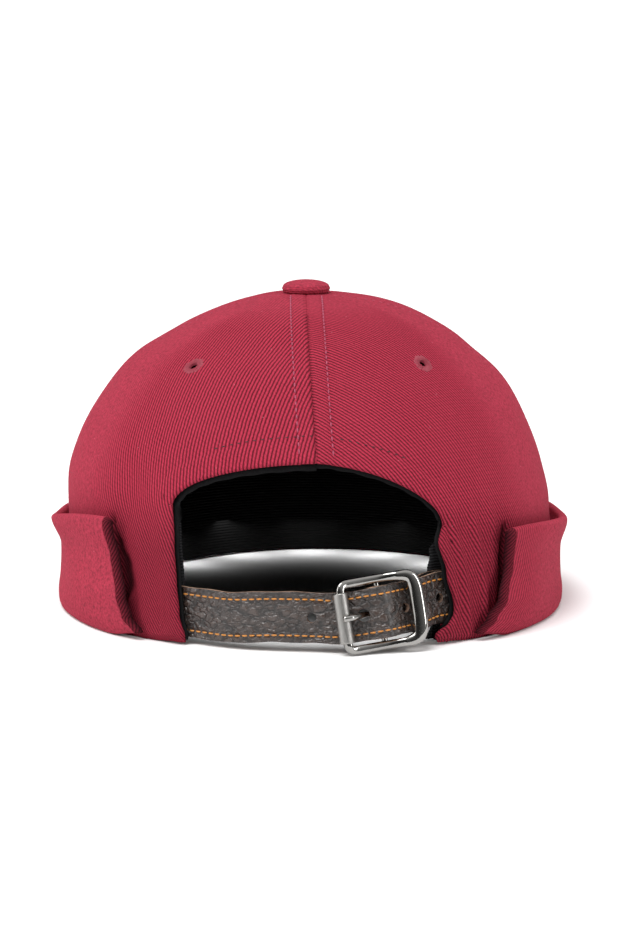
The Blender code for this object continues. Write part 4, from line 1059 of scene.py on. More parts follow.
def build_stitching():
    """Double topstitching beside every seam, and the hem's stitched line over the arch. The
    threads of the middle seams stand up and those of the side seams are sunk in the cloth."""
    from_button, to_hem, fine = 0.06, 0.99, 240
    arch_levels = np.linspace(from_button, level_at(OPENING_HEIGHT + 1.5 * MM), fine)
    hem_levels = np.linspace(from_button, to_hem, fine)
    back_room, front_room = (np.maximum(crown_profile(levels)[0] * CROWN_HALF_WIDTH, MM)
                             for levels in (arch_levels, hem_levels))
    side_room = np.maximum(crown_profile(hem_levels)[0] * CROWN_BACK_LENGTH, MM)
    lines = []
    for sign in (-1, 1):
        turn = back_seam_turn(arch_levels) + sign * SEAM_STITCH_SIDE / back_room
        lines.append((turn, arch_levels, 0.32 * MM, 0.75))
    for sign in (-1, 1):
        turn = np.pi - middle_seam_turn(hem_levels, 0.0, 0.0) + sign * SEAM_STITCH_SIDE / front_room
        lines.append((turn, hem_levels, 0.32 * MM, 0.75))
    for quarter in (-1, 1):
        for sign in (-1, 1):
            turn = quarter * np.pi / 2 + sign * SEAM_STITCH_SIDE / side_room
            lines.append((turn, hem_levels, THREAD_RADIUS, -0.7))
    made = [stitches_along(cloth_point(turn, levels), crown_frame(turn, levels)[1], STITCH_PITCH,
                           0.66, radius, lift) for turn, levels, radius, lift in lines]
    points, faces = join(made)
    add_piece("seam_topstitching", points, faces, SEAM_THREAD)

    # Along the arch the line runs from beside the seam to where the cloth hides it
    made = []
    for side, start in ((LEFT, 0.01), (RIGHT, 0.14)):
        turn, level = arch_point(side, np.linspace(start, 0.42, 200), -HEM_STITCH_SIDE)
        made.append(stitches_along(cloth_point(turn, level), crown_frame(turn, level)[1],
                                   STITCH_PITCH, 0.45, 0.2 * MM, 0.1))
    points, faces = join(made)
    add_piece("hem_stitching", points, faces, HEM_THREAD)


def on_cloth(turn, level, right, up, outward):
    """Points on the cloth at distances to the right and up from a place on it."""
    reach, _ = crown_profile(level)
    length = CROWN_BACK_LENGTH if math.cos(turn) > 0 else CROWN_FRONT_LENGTH
    per_turn = reach * math.hypot(CROWN_HALF_WIDTH * math.cos(turn), length * math.sin(turn))
    step = 0.002
    per_level = np.linalg.norm(crown_point(turn, level + step) - crown_point(turn, level)) / step
    return cloth_point(turn + right / per_turn, level - up / per_level, outward)


def build_eyelets():
    """Vent holes edged with close buttonhole stitches that run out from the hole."""
    stitches, fine, profile = 30, 6, 15
    hole, thread, sunk, foot = 1.45 * MM, 0.85 * MM, 0.35 * MM, 0.8 * MM
    swing = np.linspace(0, 2 * np.pi, stitches * fine, endpoint=False)[:, None]
    across = np.linspace(0, 1, profile)[None]
    ridge = np.abs(np.sin(swing * stitches / 2)) ** 0.7
    shape = np.sin(np.pi * (0.06 + 0.94 * across)) ** 0.5
    rise = thread * shape * (0.5 + 0.5 * ridge) - sunk
    rise = np.where(across == 0, -foot, rise)
    for name, (turn, share) in EYELETS.items():
        turn, level = turn * DEGREE, float(level_at(share * CROWN_HEIGHT))
        # The stitches' ends wander by up to 0.35 mm, in another way on each eyelet
        wander = (0.192 * np.sin(swing * 7 + turn) + 0.16 * np.sin(swing * 17)) * MM
        radius = hole + (EYELET_RADIUS + EYELET_THREAD + wander - hole) * across
        points = on_cloth(turn, level, radius * np.cos(swing), radius * np.sin(swing), rise)
        points = points.reshape(-1, 3)
        index = np.arange(len(points)).reshape(-1, profile)
        faces = face_out(points, wrapped_faces(index), CROWN_MIDDLE)
        add_piece("eyelet_ring_" + name, points, faces, RING_THREAD,
                  replaces=["eyelet_" + name])


def build_button():
    """A tin button covered with a round of twill, gathered in under its edge. Its section runs
    over the domed top, down the side and in underneath."""
    sides, rows, dome_end, side_end = 144, 40, 0.62, 0.86
    side_height, under_depth, groove, gathers = 1.75 * MM, 0.9 * MM, 0.22 * MM, 0.10 * MM
    swing = np.linspace(0, 2 * np.pi, sides, endpoint=False)[:, None]
    share = np.linspace(0, 1, rows + 1)[None]
    fall = np.minimum(share / dome_end, 1.0) * np.pi / 2
    side = np.clip((share - dome_end) / (side_end - dome_end), 0.0, 1.0)
    under = np.clip((share - side_end) / (1 - side_end), 0.0, 1.0)
    radius = BUTTON_RADIUS * (0.96 * np.sin(fall) + 0.04 * np.sin(np.pi * side) - 0.16 * under)
    radius = radius - groove * bump_at(share, 0.80, 0.03)
    height = BUTTON_HEIGHT * (0.48 + 0.66 * np.cos(fall)) - side_height * side - under_depth * under
    radius = radius + gathers * np.sin(swing * 23 + 0.6 * np.sin(swing * 3)) * share ** 5
    radius = radius + 0.1 * MM * np.sin(2 * swing + 1) * share
    top = crown_point(0.0, 0.0)
    points = np.stack([top[0] + radius * np.cos(swing), top[1] + radius * np.sin(swing),
                       top[2] + GAP + height + 0 * radius], axis=-1).reshape(-1, 3)
    # The cloth is a quarter longer from the middle to its edge than the button is wide
    run = 1.25 * BUTTON_RADIUS * share / MM
    cloth = ribs_of(run * np.cos(swing), -run * np.sin(swing), 62 * DEGREE, 1.15)
    cloth[..., 2] = 0.35 * eased((share - 0.45) / 0.2) - 1.0
    faces = wrapped_faces(np.arange(len(points)).reshape(sides, rows + 1))
    faces = face_out(points, faces, points.mean(axis=0))
    add_piece("covered_button", points, faces, TWILL, cloth.reshape(-1, 3), replaces=["top_button"])


# Cuff


def cuff_section():
    """Section of the folded band: for each corner how far up its middle line stands, where that
    line stands in the band's thickness, and how far the face stands off it across and upward.
    Its two layers have their middle lines at a quarter and three quarters of the thickness."""
    half, inner, outer = 0.235, 0.25, 0.75
    up = np.linspace(0, 1, CUFF_ROWS)
    fold = np.linspace(0, np.pi, 13)[1:-1]
    foot = np.linspace(0, np.pi, 7)[1:-1]
    rows = [(share, outer, half, 0.0) for share in up]
    rows += [(1.0, 0.5 + inner * math.cos(a), half * math.cos(a), (inner + half) * math.sin(a))
             for a in fold]
    rows += [(share, inner, -half, 0.0) for share in up[::-1]]
    rows += [(0.0, inner, -half * math.cos(a), -half * math.sin(a)) for a in foot]
    rows += [(share, inner, half, 0.0) for share in up]
    rows += [(1.0, 0.5 - inner * math.cos(a), half * math.cos(a), (inner - half) * math.sin(a))
             for a in fold[::4]]
    rows += [(share, outer, -half, 0.0) for share in up[::-1]]
    rows += [(0.0, outer, -half * math.cos(a), -half * math.sin(a)) for a in foot]
    return (np.array(rows)[:, part][:, None] for part in range(4))


def cuff_places():
    """Shares of the cuff's length, closer together over its rounded ends, and how far the
    section has filled out at each."""
    bend = np.linspace(0, np.pi / 2, CUFF_CAP_ROWS + 1)
    rounded = CUFF_CAP * (1 - np.cos(bend)) / CUFF_RUN
    place = np.linspace(rounded[-1], 1 - rounded[-1], CUFF_COLUMNS + 1 - 2 * CUFF_CAP_ROWS)
    place = np.concatenate([rounded[:-1], place, 1 - rounded[-2::-1]])[None]
    full = np.ones(CUFF_COLUMNS + 1)
    full[:CUFF_CAP_ROWS] = np.maximum(np.sin(bend), 0.05)[:-1]
    full[-CUFF_CAP_ROWS:] = full[:CUFF_CAP_ROWS][::-1]
    return place, full[None]


def build_cuff():
    """The hem turned up as a double band with a soft fold at its rim. Each end is rounded over
    and stitched down, so that its ribs twist round it like a rope."""
    share, middle, off_across, off_up = cuff_section()
    place, full = cuff_places()
    first = read_rows(CUFF_ENDS[1], share) * DEGREE
    last = 2 * np.pi - read_rows(CUFF_ENDS[-1], share) * DEGREE
    turn = first + (last - first) * place
    from_end = np.minimum(place, 1 - place) * CUFF_RUN
    rim = CUFF_HEIGHT + 0 * turn
    outward = GAP + CUFF_FLARE * read_rows(CUFF_FLARES, share) + 0 * turn
    for sign, aside in ((1, turn), (-1, 2 * np.pi - turn)):
        near = 1 - eased((aside - CUFF_TOP_END) / (CUFF_RISE_START - CUFF_TOP_END))
        rim += CUFF_END_RISE[sign] * near
        outward += CUFF_STANDOFF * read_rows(CUFF_STANDOFFS, share) * near ** 4
    foot, tip = CUFF_THICKNESS / 4, CUFF_THICKNESS / 2
    height = foot + (rim - foot - tip) * share + CUFF_THICKNESS * off_up * full
    height = np.maximum(height, ABOVE_FLOOR)

    # The outer layer waves a little and is drawn in round its middle
    wave = np.sin(turn * 9 + 1.3) * np.sin(share * 5 + turn * 3) + 0.7 * np.sin(turn * 17 + share * 7)
    outer = (middle > 0.5) * (off_across > 0)
    inmost = 0.12
    depth = inmost + (middle + off_across - inmost) * full
    outward += CUFF_THICKNESS * depth
    outward += full * outer * (CUFF_WAVE * wave * (0.3 + 0.7 * share)
                               - CUFF_WAIST * np.exp(-(((share - 0.55) / 0.28) ** 2)))
    outward -= hem_tuck(height, CUFF_TUCK) * depth
    points = crown_point(turn, level_at(height), outward)
    beside_end = 1 - eased((from_end - CUFF_CAP / 2) / (14 * MM))
    points[..., 2] = height + CUFF_END_LIFT * beside_end * (1 - share) ** 3

    down = -run_along(points[:, CUFF_COLUMNS // 2])[:, None] / MM + 0 * turn
    across = run_along(points[CUFF_ROWS // 2])[None] / MM + 0 * turn
    at_end = from_end < 0.9 * CUFF_CAP
    rope = ribs_of(-across, down, 46 * DEGREE, 0.8)
    cloth = np.where(at_end[..., None], rope, ribs_of(-across, down, 17 * DEGREE, 1.5))
    # Near its right end the nap is worn down, and painted shade darkens the rope at both ends, most at the
    # tip
    nap = 1 - 0.75 * (1 - eased((place * CUFF_RUN - 8 * MM) / (24 * MM)))
    cloth[..., 2] = np.where(at_end, 0.95 * (1 - 0.4 * full) + 0.1, -nap)
    points, rows = points.reshape(-1, 3), len(share)
    faces = grid_faces(CUFF_COLUMNS, rows, closed=True)
    outer_face = faces[:(CUFF_ROWS - 1) * CUFF_COLUMNS]
    index = np.arange(rows * (CUFF_COLUMNS + 1)).reshape(rows, -1)
    ends = [list(index[::-1, 0]), list(index[:, -1])]
    if (face_out(points, outer_face, CROWN_MIDDLE)[0] != faces[0]).any():
        faces, ends = faces[:, ::-1], [end[::-1] for end in ends]
    add_piece("turned_up_cuff", points, [list(face) for face in faces] + ends, TWILL,
              cloth.reshape(-1, 3), replaces=["cuff"])


# Inside


def add_wall(piece, thickness):
    """Give a sheet its thickness, on its inner side."""
    wall = piece.modifiers.new("wall", "SOLIDIFY")
    wall.thickness, wall.offset = thickness, -1.0


def build_lining():
    """A black inner cap, its edge wavy where it peeps out round the opening."""
    upper, lower, arch, beside, front = 60, 28, 60, 40, 60
    clearance, grey_edge, fade = 0.1 * MM, 2.6 * MM, 0.7 * MM
    down = np.concatenate([np.linspace(0, 1, upper + 1), 1 + np.linspace(0, 1, lower + 1)[1:]])
    over = np.concatenate([np.linspace(0, 1, arch + 1), 1 + np.linspace(0, 1, beside + 1)[1:]])
    keep = np.ones((upper + lower, arch + beside), bool)
    keep[upper:, :arch] = False
    outward = -(CLOTH + LAYER_GAP)
    made = []
    for side in (LEFT, RIGHT):
        upright = eased((down[:, None] - 1.0) / 0.2)
        show = LINING_SHOW * (1 - 0.8 * upright) + LINING_WAVE * np.sin(over * 46)[None] * (1 - upright)
        if side is LEFT:
            # It sticks out at the top of the left edge and a little again lower down
            show = show + 1.7 * MM * bump_at(down[:, None], 1.06, 0.07)
            show = show + 0.5 * MM * bump_at(down[:, None], 1.24, 0.06)
        turn, level = back_cut(side, over[None], down[:, None], 0.0, 0.0, 0.0, show, side["lip"])
        points = lifted(crown_point(turn, level, outward), turn)
        made.append((points.reshape(-1, 3), grid_faces(arch + beside, upper + lower, keep)))
        turn, level = front_cut(side, np.linspace(0, 1, front + 1)[None], down[:, None], 0.0, 0.0, 0.0)
        points = crown_point(turn, level, outward)
        made.append((points.reshape(-1, 3), grid_faces(front, upper + lower)))
    made = [(points, face_out(points, faces, CROWN_MIDDLE)) for points, faces in made]
    points, faces = join([drop_unused(faces, points)[::-1] for points, faces in made])
    points[:, 2] = np.maximum(points[:, 2], clearance)
    hem = from_opening(points)
    # Painted shade everywhere but along the opening's edge, where the lining keeps its own dark grey
    unshaded_edge = 1 - eased((hem - grey_edge) / fade)
    cloth = np.stack([0 * hem, 0 * hem, unshaded_edge], axis=-1)
    piece = add_piece("inner_cap", points, faces, LINING_CLOTH, cloth, replaces=["lining"])
    weld = piece.modifiers.new("weld", "WELD")
    weld.merge_threshold = 0.02 * MM
    add_wall(piece, 0.6 * MM)


def build_sweatband():
    """A ribbed band inside the hem, pushed in where it covers the strap's tails."""
    columns, rows = 300, 72
    share = np.linspace(0, 1, rows + 1)[:, None]
    place = np.linspace(0, 1, columns + 1)[None]
    # It stands higher at its left end
    top = SWEATBAND_HEIGHT + 6 * MM * eased((place - 0.88) / 0.08)
    height = SWEATBAND_LIFT + (top - SWEATBAND_LIFT) * (1 - share)
    ends = []
    for side, column in ((RIGHT, slice(0, 1)), (LEFT, slice(-1, None))):
        show = read_rows(SWEATBAND_ENDS[side["sign"]], height[:, column] / SWEATBAND_HEIGHT)
        fray = 0.10 * np.sin(height[:, column] / MM * 2 * np.pi)
        ends.append(opening_edge(side, height[:, column], (show + fray) * MM))
    first, last = ends[0], 2 * np.pi + ends[1]
    turn = first + (last - first) * place
    depth = np.full(turn.shape, INSIDE_LINING)
    for side, end in ((RIGHT, first), (LEFT, last)):
        tuck = STRAP_THICKNESS + LAYER_GAP
        tuck += BUCKLE_STRAP_THICKNESS + 2 * LAYER_GAP if side is RIGHT else 0.0
        past = (np.abs(turn - end) - 2 * STRAP_TUCK) / SWEATBAND_EASE
        depth += tuck * (1 - eased(past))
    # It sags in at the front left, where nothing holds it
    low = np.maximum(1 - height / SWEATBAND_HEIGHT, 0.0)
    depth += SWEATBAND_SAG * bump_at(turn / DEGREE, 222, 30) * low ** 1.5
    points = crown_point(turn, level_at(height + 0 * turn), -depth)
    # Its length is measured on a row near its middle
    run = run_along(points[30]) / MM
    from_end = np.minimum(run, run[-1] - run)
    # Painted light on the band's ends, fading out from 7 to 13 mm in; the rest takes painted shade
    lint_and_painted_light = 1 - eased((from_end - 7) / 6)
    cloth = np.stack([run[None] + 0 * turn, height / MM + 0 * turn, lint_and_painted_light[None] + 0 * turn], axis=-1)
    points = points.reshape(-1, 3)
    faces = face_out(points, grid_faces(columns, rows), CROWN_MIDDLE)
    piece = add_piece("ribbed_sweatband", points, faces, RIBBON, cloth.reshape(-1, 3),
                      replaces=["sweatband"])
    add_wall(piece, 0.9 * MM)


# Strap and buckle


def placed(point, outward, upward):
    """Frame at a point with Z outward and Y as near upward as it can be."""
    z_way = outward.normalized()
    x_way = upward.cross(z_way).normalized()
    made = Matrix((x_way, z_way.cross(x_way), z_way)).transposed().to_4x4()
    made.translation = point
    return made


def buckle_frame_place():
    """Frame of the buckle: X along the strap, Y across it, Z out from the head."""
    level = level_at(BUCKLE_MIDDLE_HEIGHT)
    turn = turn_at(1, BUCKLE_SIDE, level)
    outward = Vector(crown_point(turn, level, MM) - crown_point(turn, level))
    outward.z = 0.0
    place = placed(Vector(crown_point(turn, level, BUCKLE_STANDOFF)), outward, Vector((0, 0, 1)))
    return place @ Matrix.Rotation(BUCKLE_ROLL, 4, "Z") @ Matrix.Rotation(BUCKLE_PITCH, 4, "X")


BUCKLE = buckle_frame_place()


def at_buckle(along, across, outward):
    """A point in the buckle's frame."""
    return BUCKLE @ Vector((along, across, outward))


def smooth_route(stations, steps):
    """Points on a smooth curve through the stations, the same number between each pair."""
    route = []
    for index in range(len(stations) - 1):
        before, start = stations[max(index - 1, 0)], stations[index]
        end, after = stations[index + 1], stations[min(index + 2, len(stations) - 1)]
        for step in range(steps):
            t = step / steps
            route.append(0.5 * (2 * start + (end - before) * t
                                + (2 * before - 5 * start + 4 * end - after) * t * t
                                + (3 * start - before - 3 * end + after) * t ** 3))
    return route + [stations[-1]]


def strap_stations():
    """Stations of the strap's outer face, up to the buckle's bar and on to its right tail."""
    left_edge = float(opening_edge(LEFT, STRAP_LEFT_HEIGHT))
    right_edge = float(opening_edge(RIGHT, STRAP_RIGHT_HEIGHT))
    hook = BAR_RADIUS + GAP + 2 * PRONG_RADIUS - BAR_DEPTH

    def on_crown(turn, height, outward):
        return Vector(crown_point(turn, level_at(height), outward))

    near = [on_crown(left_edge + tuck * STRAP_TUCK, STRAP_LEFT_HEIGHT, -INSIDE_LINING)
            for tuck in (-1, -0.25, 0.5)]
    near += [on_crown(left_edge * share, height, -INSIDE_LINING * depth)
             for share, height, depth in STRAP_FRONT]
    near += [at_buckle(ROLLER_X, 0, -(ROLLER_RADIUS + 2 * GAP)),
             at_buckle(0, 0, hook + 3 * GAP + STRAP_THICKNESS)]
    tail = [at_buckle(STRAP_BEHIND_BEND * BEND_X, 0, -(BEND_RADIUS + 2 * GAP)),
            at_buckle(BEND_X, 0, -(BEND_RADIUS + 3 * GAP))]
    tail += [on_crown(right_edge + tuck * STRAP_TUCK, STRAP_RIGHT_HEIGHT, -INSIDE_LINING)
             for tuck in (-0.5, 0.25, 1)]
    return near, tail


def route_frame(route, index):
    """Frame on a band's outer face at a point of its route: Y across it, Z outward."""
    along = route[min(index + 1, len(route) - 1)] - route[max(index - 1, 0)]
    past = abs((BUCKLE.inverted() @ route[index]).x) - BUCKLE_LENGTH / 2
    tilted = BUCKLE.to_3x3() @ Vector((0, 1, 0))
    upward = tilted.lerp(Vector((0, 0, 1)), float(eased(past / STRAP_TWIST)))
    return placed(route[index], along.cross(upward), upward)


def band_section(width, thickness):
    """Section of a leather band as (across, outward, kind) rows: grain, cut edge or flesh side.
    The stitches draw a groove in the grain side, and its edges are rounded off."""
    half, round_edge, groove, groove_side = width / 2, 0.32 * MM, 0.16 * MM, 2.5 * MM
    grain, cut_edge, flesh = 0, 1, 2
    across = np.linspace(-half + round_edge, half - round_edge, 45)
    rows = [(y, -groove * float(bump_at(half - abs(y), groove_side, 0.7 * MM)), grain) for y in across]
    edge = [(half - round_edge + round_edge * math.sin(a), -round_edge * (1 - math.cos(a)))
            for a in (30 * DEGREE, 60 * DEGREE, 90 * DEGREE)]
    edge += [(half, -thickness * 0.6), (half - 0.1 * MM, -thickness)]
    right = [(y, z, cut_edge if step > 1 else grain) for step, (y, z) in enumerate(edge)]
    left = [(-y, z, kind) for y, z, kind in right[::-1]]
    return rows + right + [(y, -thickness, flesh) for y in across[::-4]] + left


def band_creases(run, y):
    """Soft unevenness of worn leather, in waves 4 to 20 mm long, for its depth to scale."""
    return (np.sin(run * 1700 + 900 * y) * np.sin(run * 610 + 400 * y + 1)
            + 0.8 * np.sin(run * 900 - 700 * y + 2) * np.sin(y * 800 + run * 300))


def build_band(name, frames, width, thickness, node, creases):
    """A leather band swept along its route's frames, with a grain side, cut edges and flesh side.
    Its creases are given by their depth in millimetres."""
    rows = band_section(width, thickness)
    matrices = np.array([np.array(place) for place in frames])
    origin, across, outward = matrices[:, :3, 3], matrices[:, :3, 1], matrices[:, :3, 2]
    run = run_along(origin)[:, None]
    y, z, kinds = np.array(rows).T[:, None]
    swell = creases * MM * band_creases(run, y) * (z > -0.25 * MM)
    # The edge itself is cut a little wavy
    edge = 0.12 * MM * np.sin(run * 420) * np.sign(y) * (np.abs(y) > width / 2 - MM)
    points = origin[:, None] + across[:, None] * (y + edge)[..., None]
    points = (points + outward[:, None] * (z + swell)[..., None]).reshape(-1, 3)
    count, sides = len(frames), len(rows)
    index = np.arange(count * sides).reshape(count, sides)
    following = np.roll(index, -1, 1)
    faces = np.stack([index[:-1], following[:-1], following[1:], index[1:]], axis=-1).reshape(-1, 4)
    material = np.broadcast_to(kinds, (count - 1, sides)).ravel()
    middle = origin[:-1, None] - outward[:-1, None] * thickness / 2
    corners = points[faces]
    normal = np.cross(corners[:, 2] - corners[:, 0], corners[:, 3] - corners[:, 1])
    face_middle = np.broadcast_to(middle, (count - 1, sides, 3)).reshape(-1, 3)
    ends = [list(index[0][::-1]), list(index[-1])]
    if (normal * (corners.mean(axis=1) - face_middle)).sum() < 0:
        faces, ends = faces[:, ::-1], [end[::-1] for end in ends]
    return add_piece(name, points, [list(face) for face in faces] + ends,
                     [LEATHER, LEATHER_EDGE, LEATHER_BACK],
                     face_material=np.concatenate([material, [1, 1]]), replaces=[node])


def punch(piece, places, radii, depth, material):
    """Cut round holes through a piece, with the cut leather on their walls."""
    cutter_mesh = bpy.data.meshes.new("punches")
    parts = []
    for place, radius in zip(places, radii):
        path = [place @ Vector((0, 0, depth)), place @ Vector((0, 0, -depth))]
        upward = np.array([place.to_3x3() @ Vector((0, 1, 0))] * 2)
        parts.append(tube_mesh([list(point) for point in path], [radius] * 2, HOLE_SIDES, upward=upward))
    points, faces = join(parts)
    cutter_mesh.from_pydata(points.tolist(), [], faces)
    cutter_mesh.materials.append(material)
    cutter = add_object("punches", cutter_mesh)
    cutting = piece.modifiers.new("punches", "BOOLEAN")
    cutting.operation, cutting.object, cutting.material_mode = "DIFFERENCE", cutter, "TRANSFER"
    bpy.context.view_layer.update()
    shaped = bpy.data.meshes.new_from_object(piece.evaluated_get(bpy.context.evaluated_depsgraph_get()))
    piece.modifiers.remove(cutting)
    name, plain = piece.data.name, piece.data
    piece.data = shaped
    bpy.data.meshes.remove(plain)
    shaped.name = name
    bpy.data.objects.remove(cutter)
    shaped.set_sharp_from_angle(angle=SHARP_EDGE)


def band_stitches(frames, width):
    """Saddle stitches along both edges of a band, sunk a little in their groove."""
    pitch, thread, from_edge, sunk = 2.55 * MM, 0.3 * MM, 2.4 * MM, 0.12 * MM
    made = []
    for side in (-1, 1):
        path = np.array([place @ Vector((0, side * (width / 2 - from_edge), -sunk)) for place in frames])
        out = np.array([place.to_3x3() @ Vector((0, 0, 1)) for place in frames])
        made.append(stitches_along(path, out, pitch, 0.74, thread, 0.5, start=0.4 * MM))
    return join(made)


def build_strap(stations):
    """The long strap, with its row of holes and its stitches."""
    route = smooth_route(stations, 40)
    frames = [route_frame(route, index) for index in range(len(route))][::2]
    strap = build_band("holed_strap", frames, STRAP_WIDTH, STRAP_THICKNESS, "strap",
                       creases=0.05)
    hole_point = at_buckle(PRONG_HOLE_X, 0, 0)
    start = min(range(len(route)), key=lambda index: (route[index] - hole_point).length)
    places, radii = [], []
    for holes_along in (-1, 0, 1, 2):
        step = 1 if holes_along > 0 else -1
        index, left = start, abs(holes_along) * STRAP_HOLE_PITCH
        while left > 0 and 1 < index < len(route) - 2:
            left -= (route[index + step] - route[index]).length
            index += step
        places.append(route_frame(route, index))
        radii.append(PRONG_HOLE_RADIUS if holes_along == 0 else STRAP_HOLE_RADIUS)
    punch(strap, places, radii, 2 * STRAP_THICKNESS, LEATHER_BACK)
    points, faces = band_stitches(frames, STRAP_WIDTH)
    add_piece("strap_stitching", points, faces, STRAP_THREAD)


def build_buckle_strap(stations, behind_from):
    """The short strap, folded round the buckle's bar, that goes in behind the long one."""
    loop = BAR_RADIUS + GAP + BUCKLE_STRAP_THICKNESS
    front = [at_buckle(BUCKLE_STRAP_RETURN, 0, loop - BAR_DEPTH - GAP)]
    for step in range(9):
        swing = math.pi / 2 + math.pi * step / 8
        front.append(at_buckle(loop * math.cos(swing), 0, loop * math.sin(swing) - BAR_DEPTH))
    front.append(at_buckle(BUCKLE_STRAP_RETURN, 0, -loop - BAR_DEPTH))
    depth = STRAP_THICKNESS + LAYER_GAP + BUCKLE_STRAP_THICKNESS
    over = smooth_route(stations, ROUTE_STEPS)
    behind = [route_frame(over, index) @ Vector((0, 0, -depth))
              for index in range(behind_from * ROUTE_STEPS, len(over))]
    short = smooth_route(front + behind[:1], ROUTE_STEPS) + behind[1:]
    short = smooth_route(short, 2)
    frames = [route_frame(short, index) for index in range(len(short))]
    build_band("buckle_holding_strap", frames, STRAP_WIDTH, BUCKLE_STRAP_THICKNESS, "buckle_strap",
               creases=0.03)


def build_straps():
    """The long holed strap and the short one that holds the buckle's bar."""
    near, tail = strap_stations()
    build_strap(near + tail)
    build_buckle_strap(near + tail, len(near) + 1)


def add_metal(name, points, faces, material, node, slot, grain=None):
    """A metal piece given in the buckle's own frame."""
    turned = np.asarray(points) @ np.array(BUCKLE.to_3x3()).T + np.array(BUCKLE.translation)
    piece = add_piece(name, turned, faces, material, grain, replaces=[node])
    piece.data.set_sharp_from_angle(angle=SHARP_EDGE)


def cast_ring(path, thick):
    """A closed bar with the flattened, soft cornered section of a cast frame. It is wider in the
    frame's plane than it is thick, and widest at the bend."""
    sides = 36
    along = unit(np.roll(path, -1, 0) - np.roll(path, 1, 0))
    upward = np.array((0.0, 0.0, 1.0))
    inward = unit(np.cross(upward, along))
    wide = thick + 0.9 * (thick - RAIL_RADIUS) + 0.25 * MM
    swing = np.linspace(0, 2 * np.pi, sides, endpoint=False)
    flat = [np.sign(part) * np.abs(part) ** 0.72 for part in (np.cos(swing), np.sin(swing))]
    across = (wide - thick)[:, None] + wide[:, None] * flat[0]
    rise = 0.98 * thick[:, None] * flat[1]
    points = path[:, None] + inward[:, None] * across[..., None] + upward * rise[..., None]
    faces = closed_faces(np.arange(len(path) * sides).reshape(-1, sides))
    points = points.reshape(-1, 3)
    turned = face_out(points, faces[:sides], (path[0] + path[1]) / 2)
    return points, faces if (turned[0] == faces[0]).all() else faces[:, ::-1]


def buckle_outline():
    """The middle line of the buckle's bar, once round, in its own plane, and how thick it is."""
    corner = np.linspace(0, np.pi / 2, 15)
    round_x = ROLLER_X + BUCKLE_CORNER * (1 - np.sin(corner))
    round_y = RAIL_Y - BUCKLE_CORNER * (1 - np.cos(corner))
    rail_x = np.linspace(BEND_START, ROLLER_X + BUCKLE_CORNER, 30)[1:-1]
    upper = np.stack([np.append(rail_x, round_x), np.append(0 * rail_x + RAIL_Y, round_y)], axis=-1)
    lower = upper[::-1] * (1, -1)
    swing = np.linspace(-np.pi / 2, np.pi / 2, 61)
    reach = np.maximum(np.cos(swing), 0.0) ** (2 / BEND_SQUARENESS)
    bend_y = RAIL_Y * np.sign(np.sin(swing)) * np.abs(np.sin(swing)) ** (2 / BEND_SQUARENESS)
    bend = np.stack([BEND_START + (BEND_X - BEND_START) * reach, bend_y], axis=-1)
    path = np.concatenate([upper, lower, bend, upper[:1]])
    radii = np.concatenate([np.full(2 * len(upper), RAIL_RADIUS),
                            RAIL_RADIUS + (BEND_RADIUS - RAIL_RADIUS) * reach, [RAIL_RADIUS]])
    run = run_along(path)
    even = np.linspace(0, run[-1], 241)[:-1]
    x, y, thick = (np.interp(even, run, field) for field in (*path.T, radii))
    for _ in range(3):
        x, y, thick = ((np.roll(field, 1) + 2 * field + np.roll(field, -1)) / 4 for field in (x, y, thick))
    return x, y, thick


def build_buckle_frame():
    """The polished D frame, bowed to follow the head, with the bar across its middle."""
    x, y, thick = buckle_outline()
    end = np.where(x < 0, ROLLER_X, BEND_START)
    bow = BUCKLE_BOW * np.maximum(1 - (x / end) ** 2, 0.0)
    ring = cast_ring(np.stack([x, y, -bow], axis=-1), thick)
    steps = 9
    bar = np.stack([np.zeros(steps), np.linspace(-RAIL_Y, RAIL_Y, steps), np.full(steps, -BAR_DEPTH)],
                   axis=-1)
    bar = tube_mesh(bar, np.full(steps, BAR_RADIUS), 24, upward=np.array((0.0, 0.0, 1.0)))
    add_metal("polished_buckle_frame", *join([ring, bar]), POLISHED, "buckle_frame", "polished_metal")


def build_roller():
    """The brushed roller, a turned sleeve with softened ends."""
    half, bore, soft = RAIL_Y - BUCKLE_CORNER - GAP, RAIL_RADIUS + GAP, 0.45 * MM
    profile = [(bore, -half), (bore + 0.2 * MM, -half)]
    profile += [(ROLLER_RADIUS - soft + soft * math.sin(a), -half + soft * (1 - math.cos(a)))
                for a in np.linspace(0, np.pi / 2, 7)]
    end = len(profile)
    profile += [(ROLLER_RADIUS, place) for place in np.linspace(-half + 2 * soft, half - 2 * soft, 12)]
    profile += [(radius, -place) for radius, place in profile[:end][::-1]]
    profile += [(bore, place) for place in np.linspace(half, -half, 4)[1:-1]]
    swing = np.linspace(0, 2 * np.pi, 48, endpoint=False)[:, None]
    radius, place = np.array(profile).T[:, None]
    points = np.stack([ROLLER_X + radius * np.cos(swing), place + 0 * swing, radius * np.sin(swing)],
                      axis=-1)
    faces = closed_faces(np.arange(points[..., 0].size).reshape(points.shape[:2]))
    # The belt's lines, 0.017 mm apart round the roller and 0.28 mm long, blend to an even satin
    round_size, drawn_out = ROLLER_RADIUS / MM, 0.06
    grain = np.stack([np.cos(swing) * round_size + 0 * radius, place / MM * drawn_out + 0 * swing,
                      np.sin(swing) * round_size + 0 * radius], axis=-1).reshape(-1, 3)
    add_metal("brushed_roller", points.reshape(-1, 3), faces, BRUSHED, "buckle_roller", "satin_metal",
              grain)


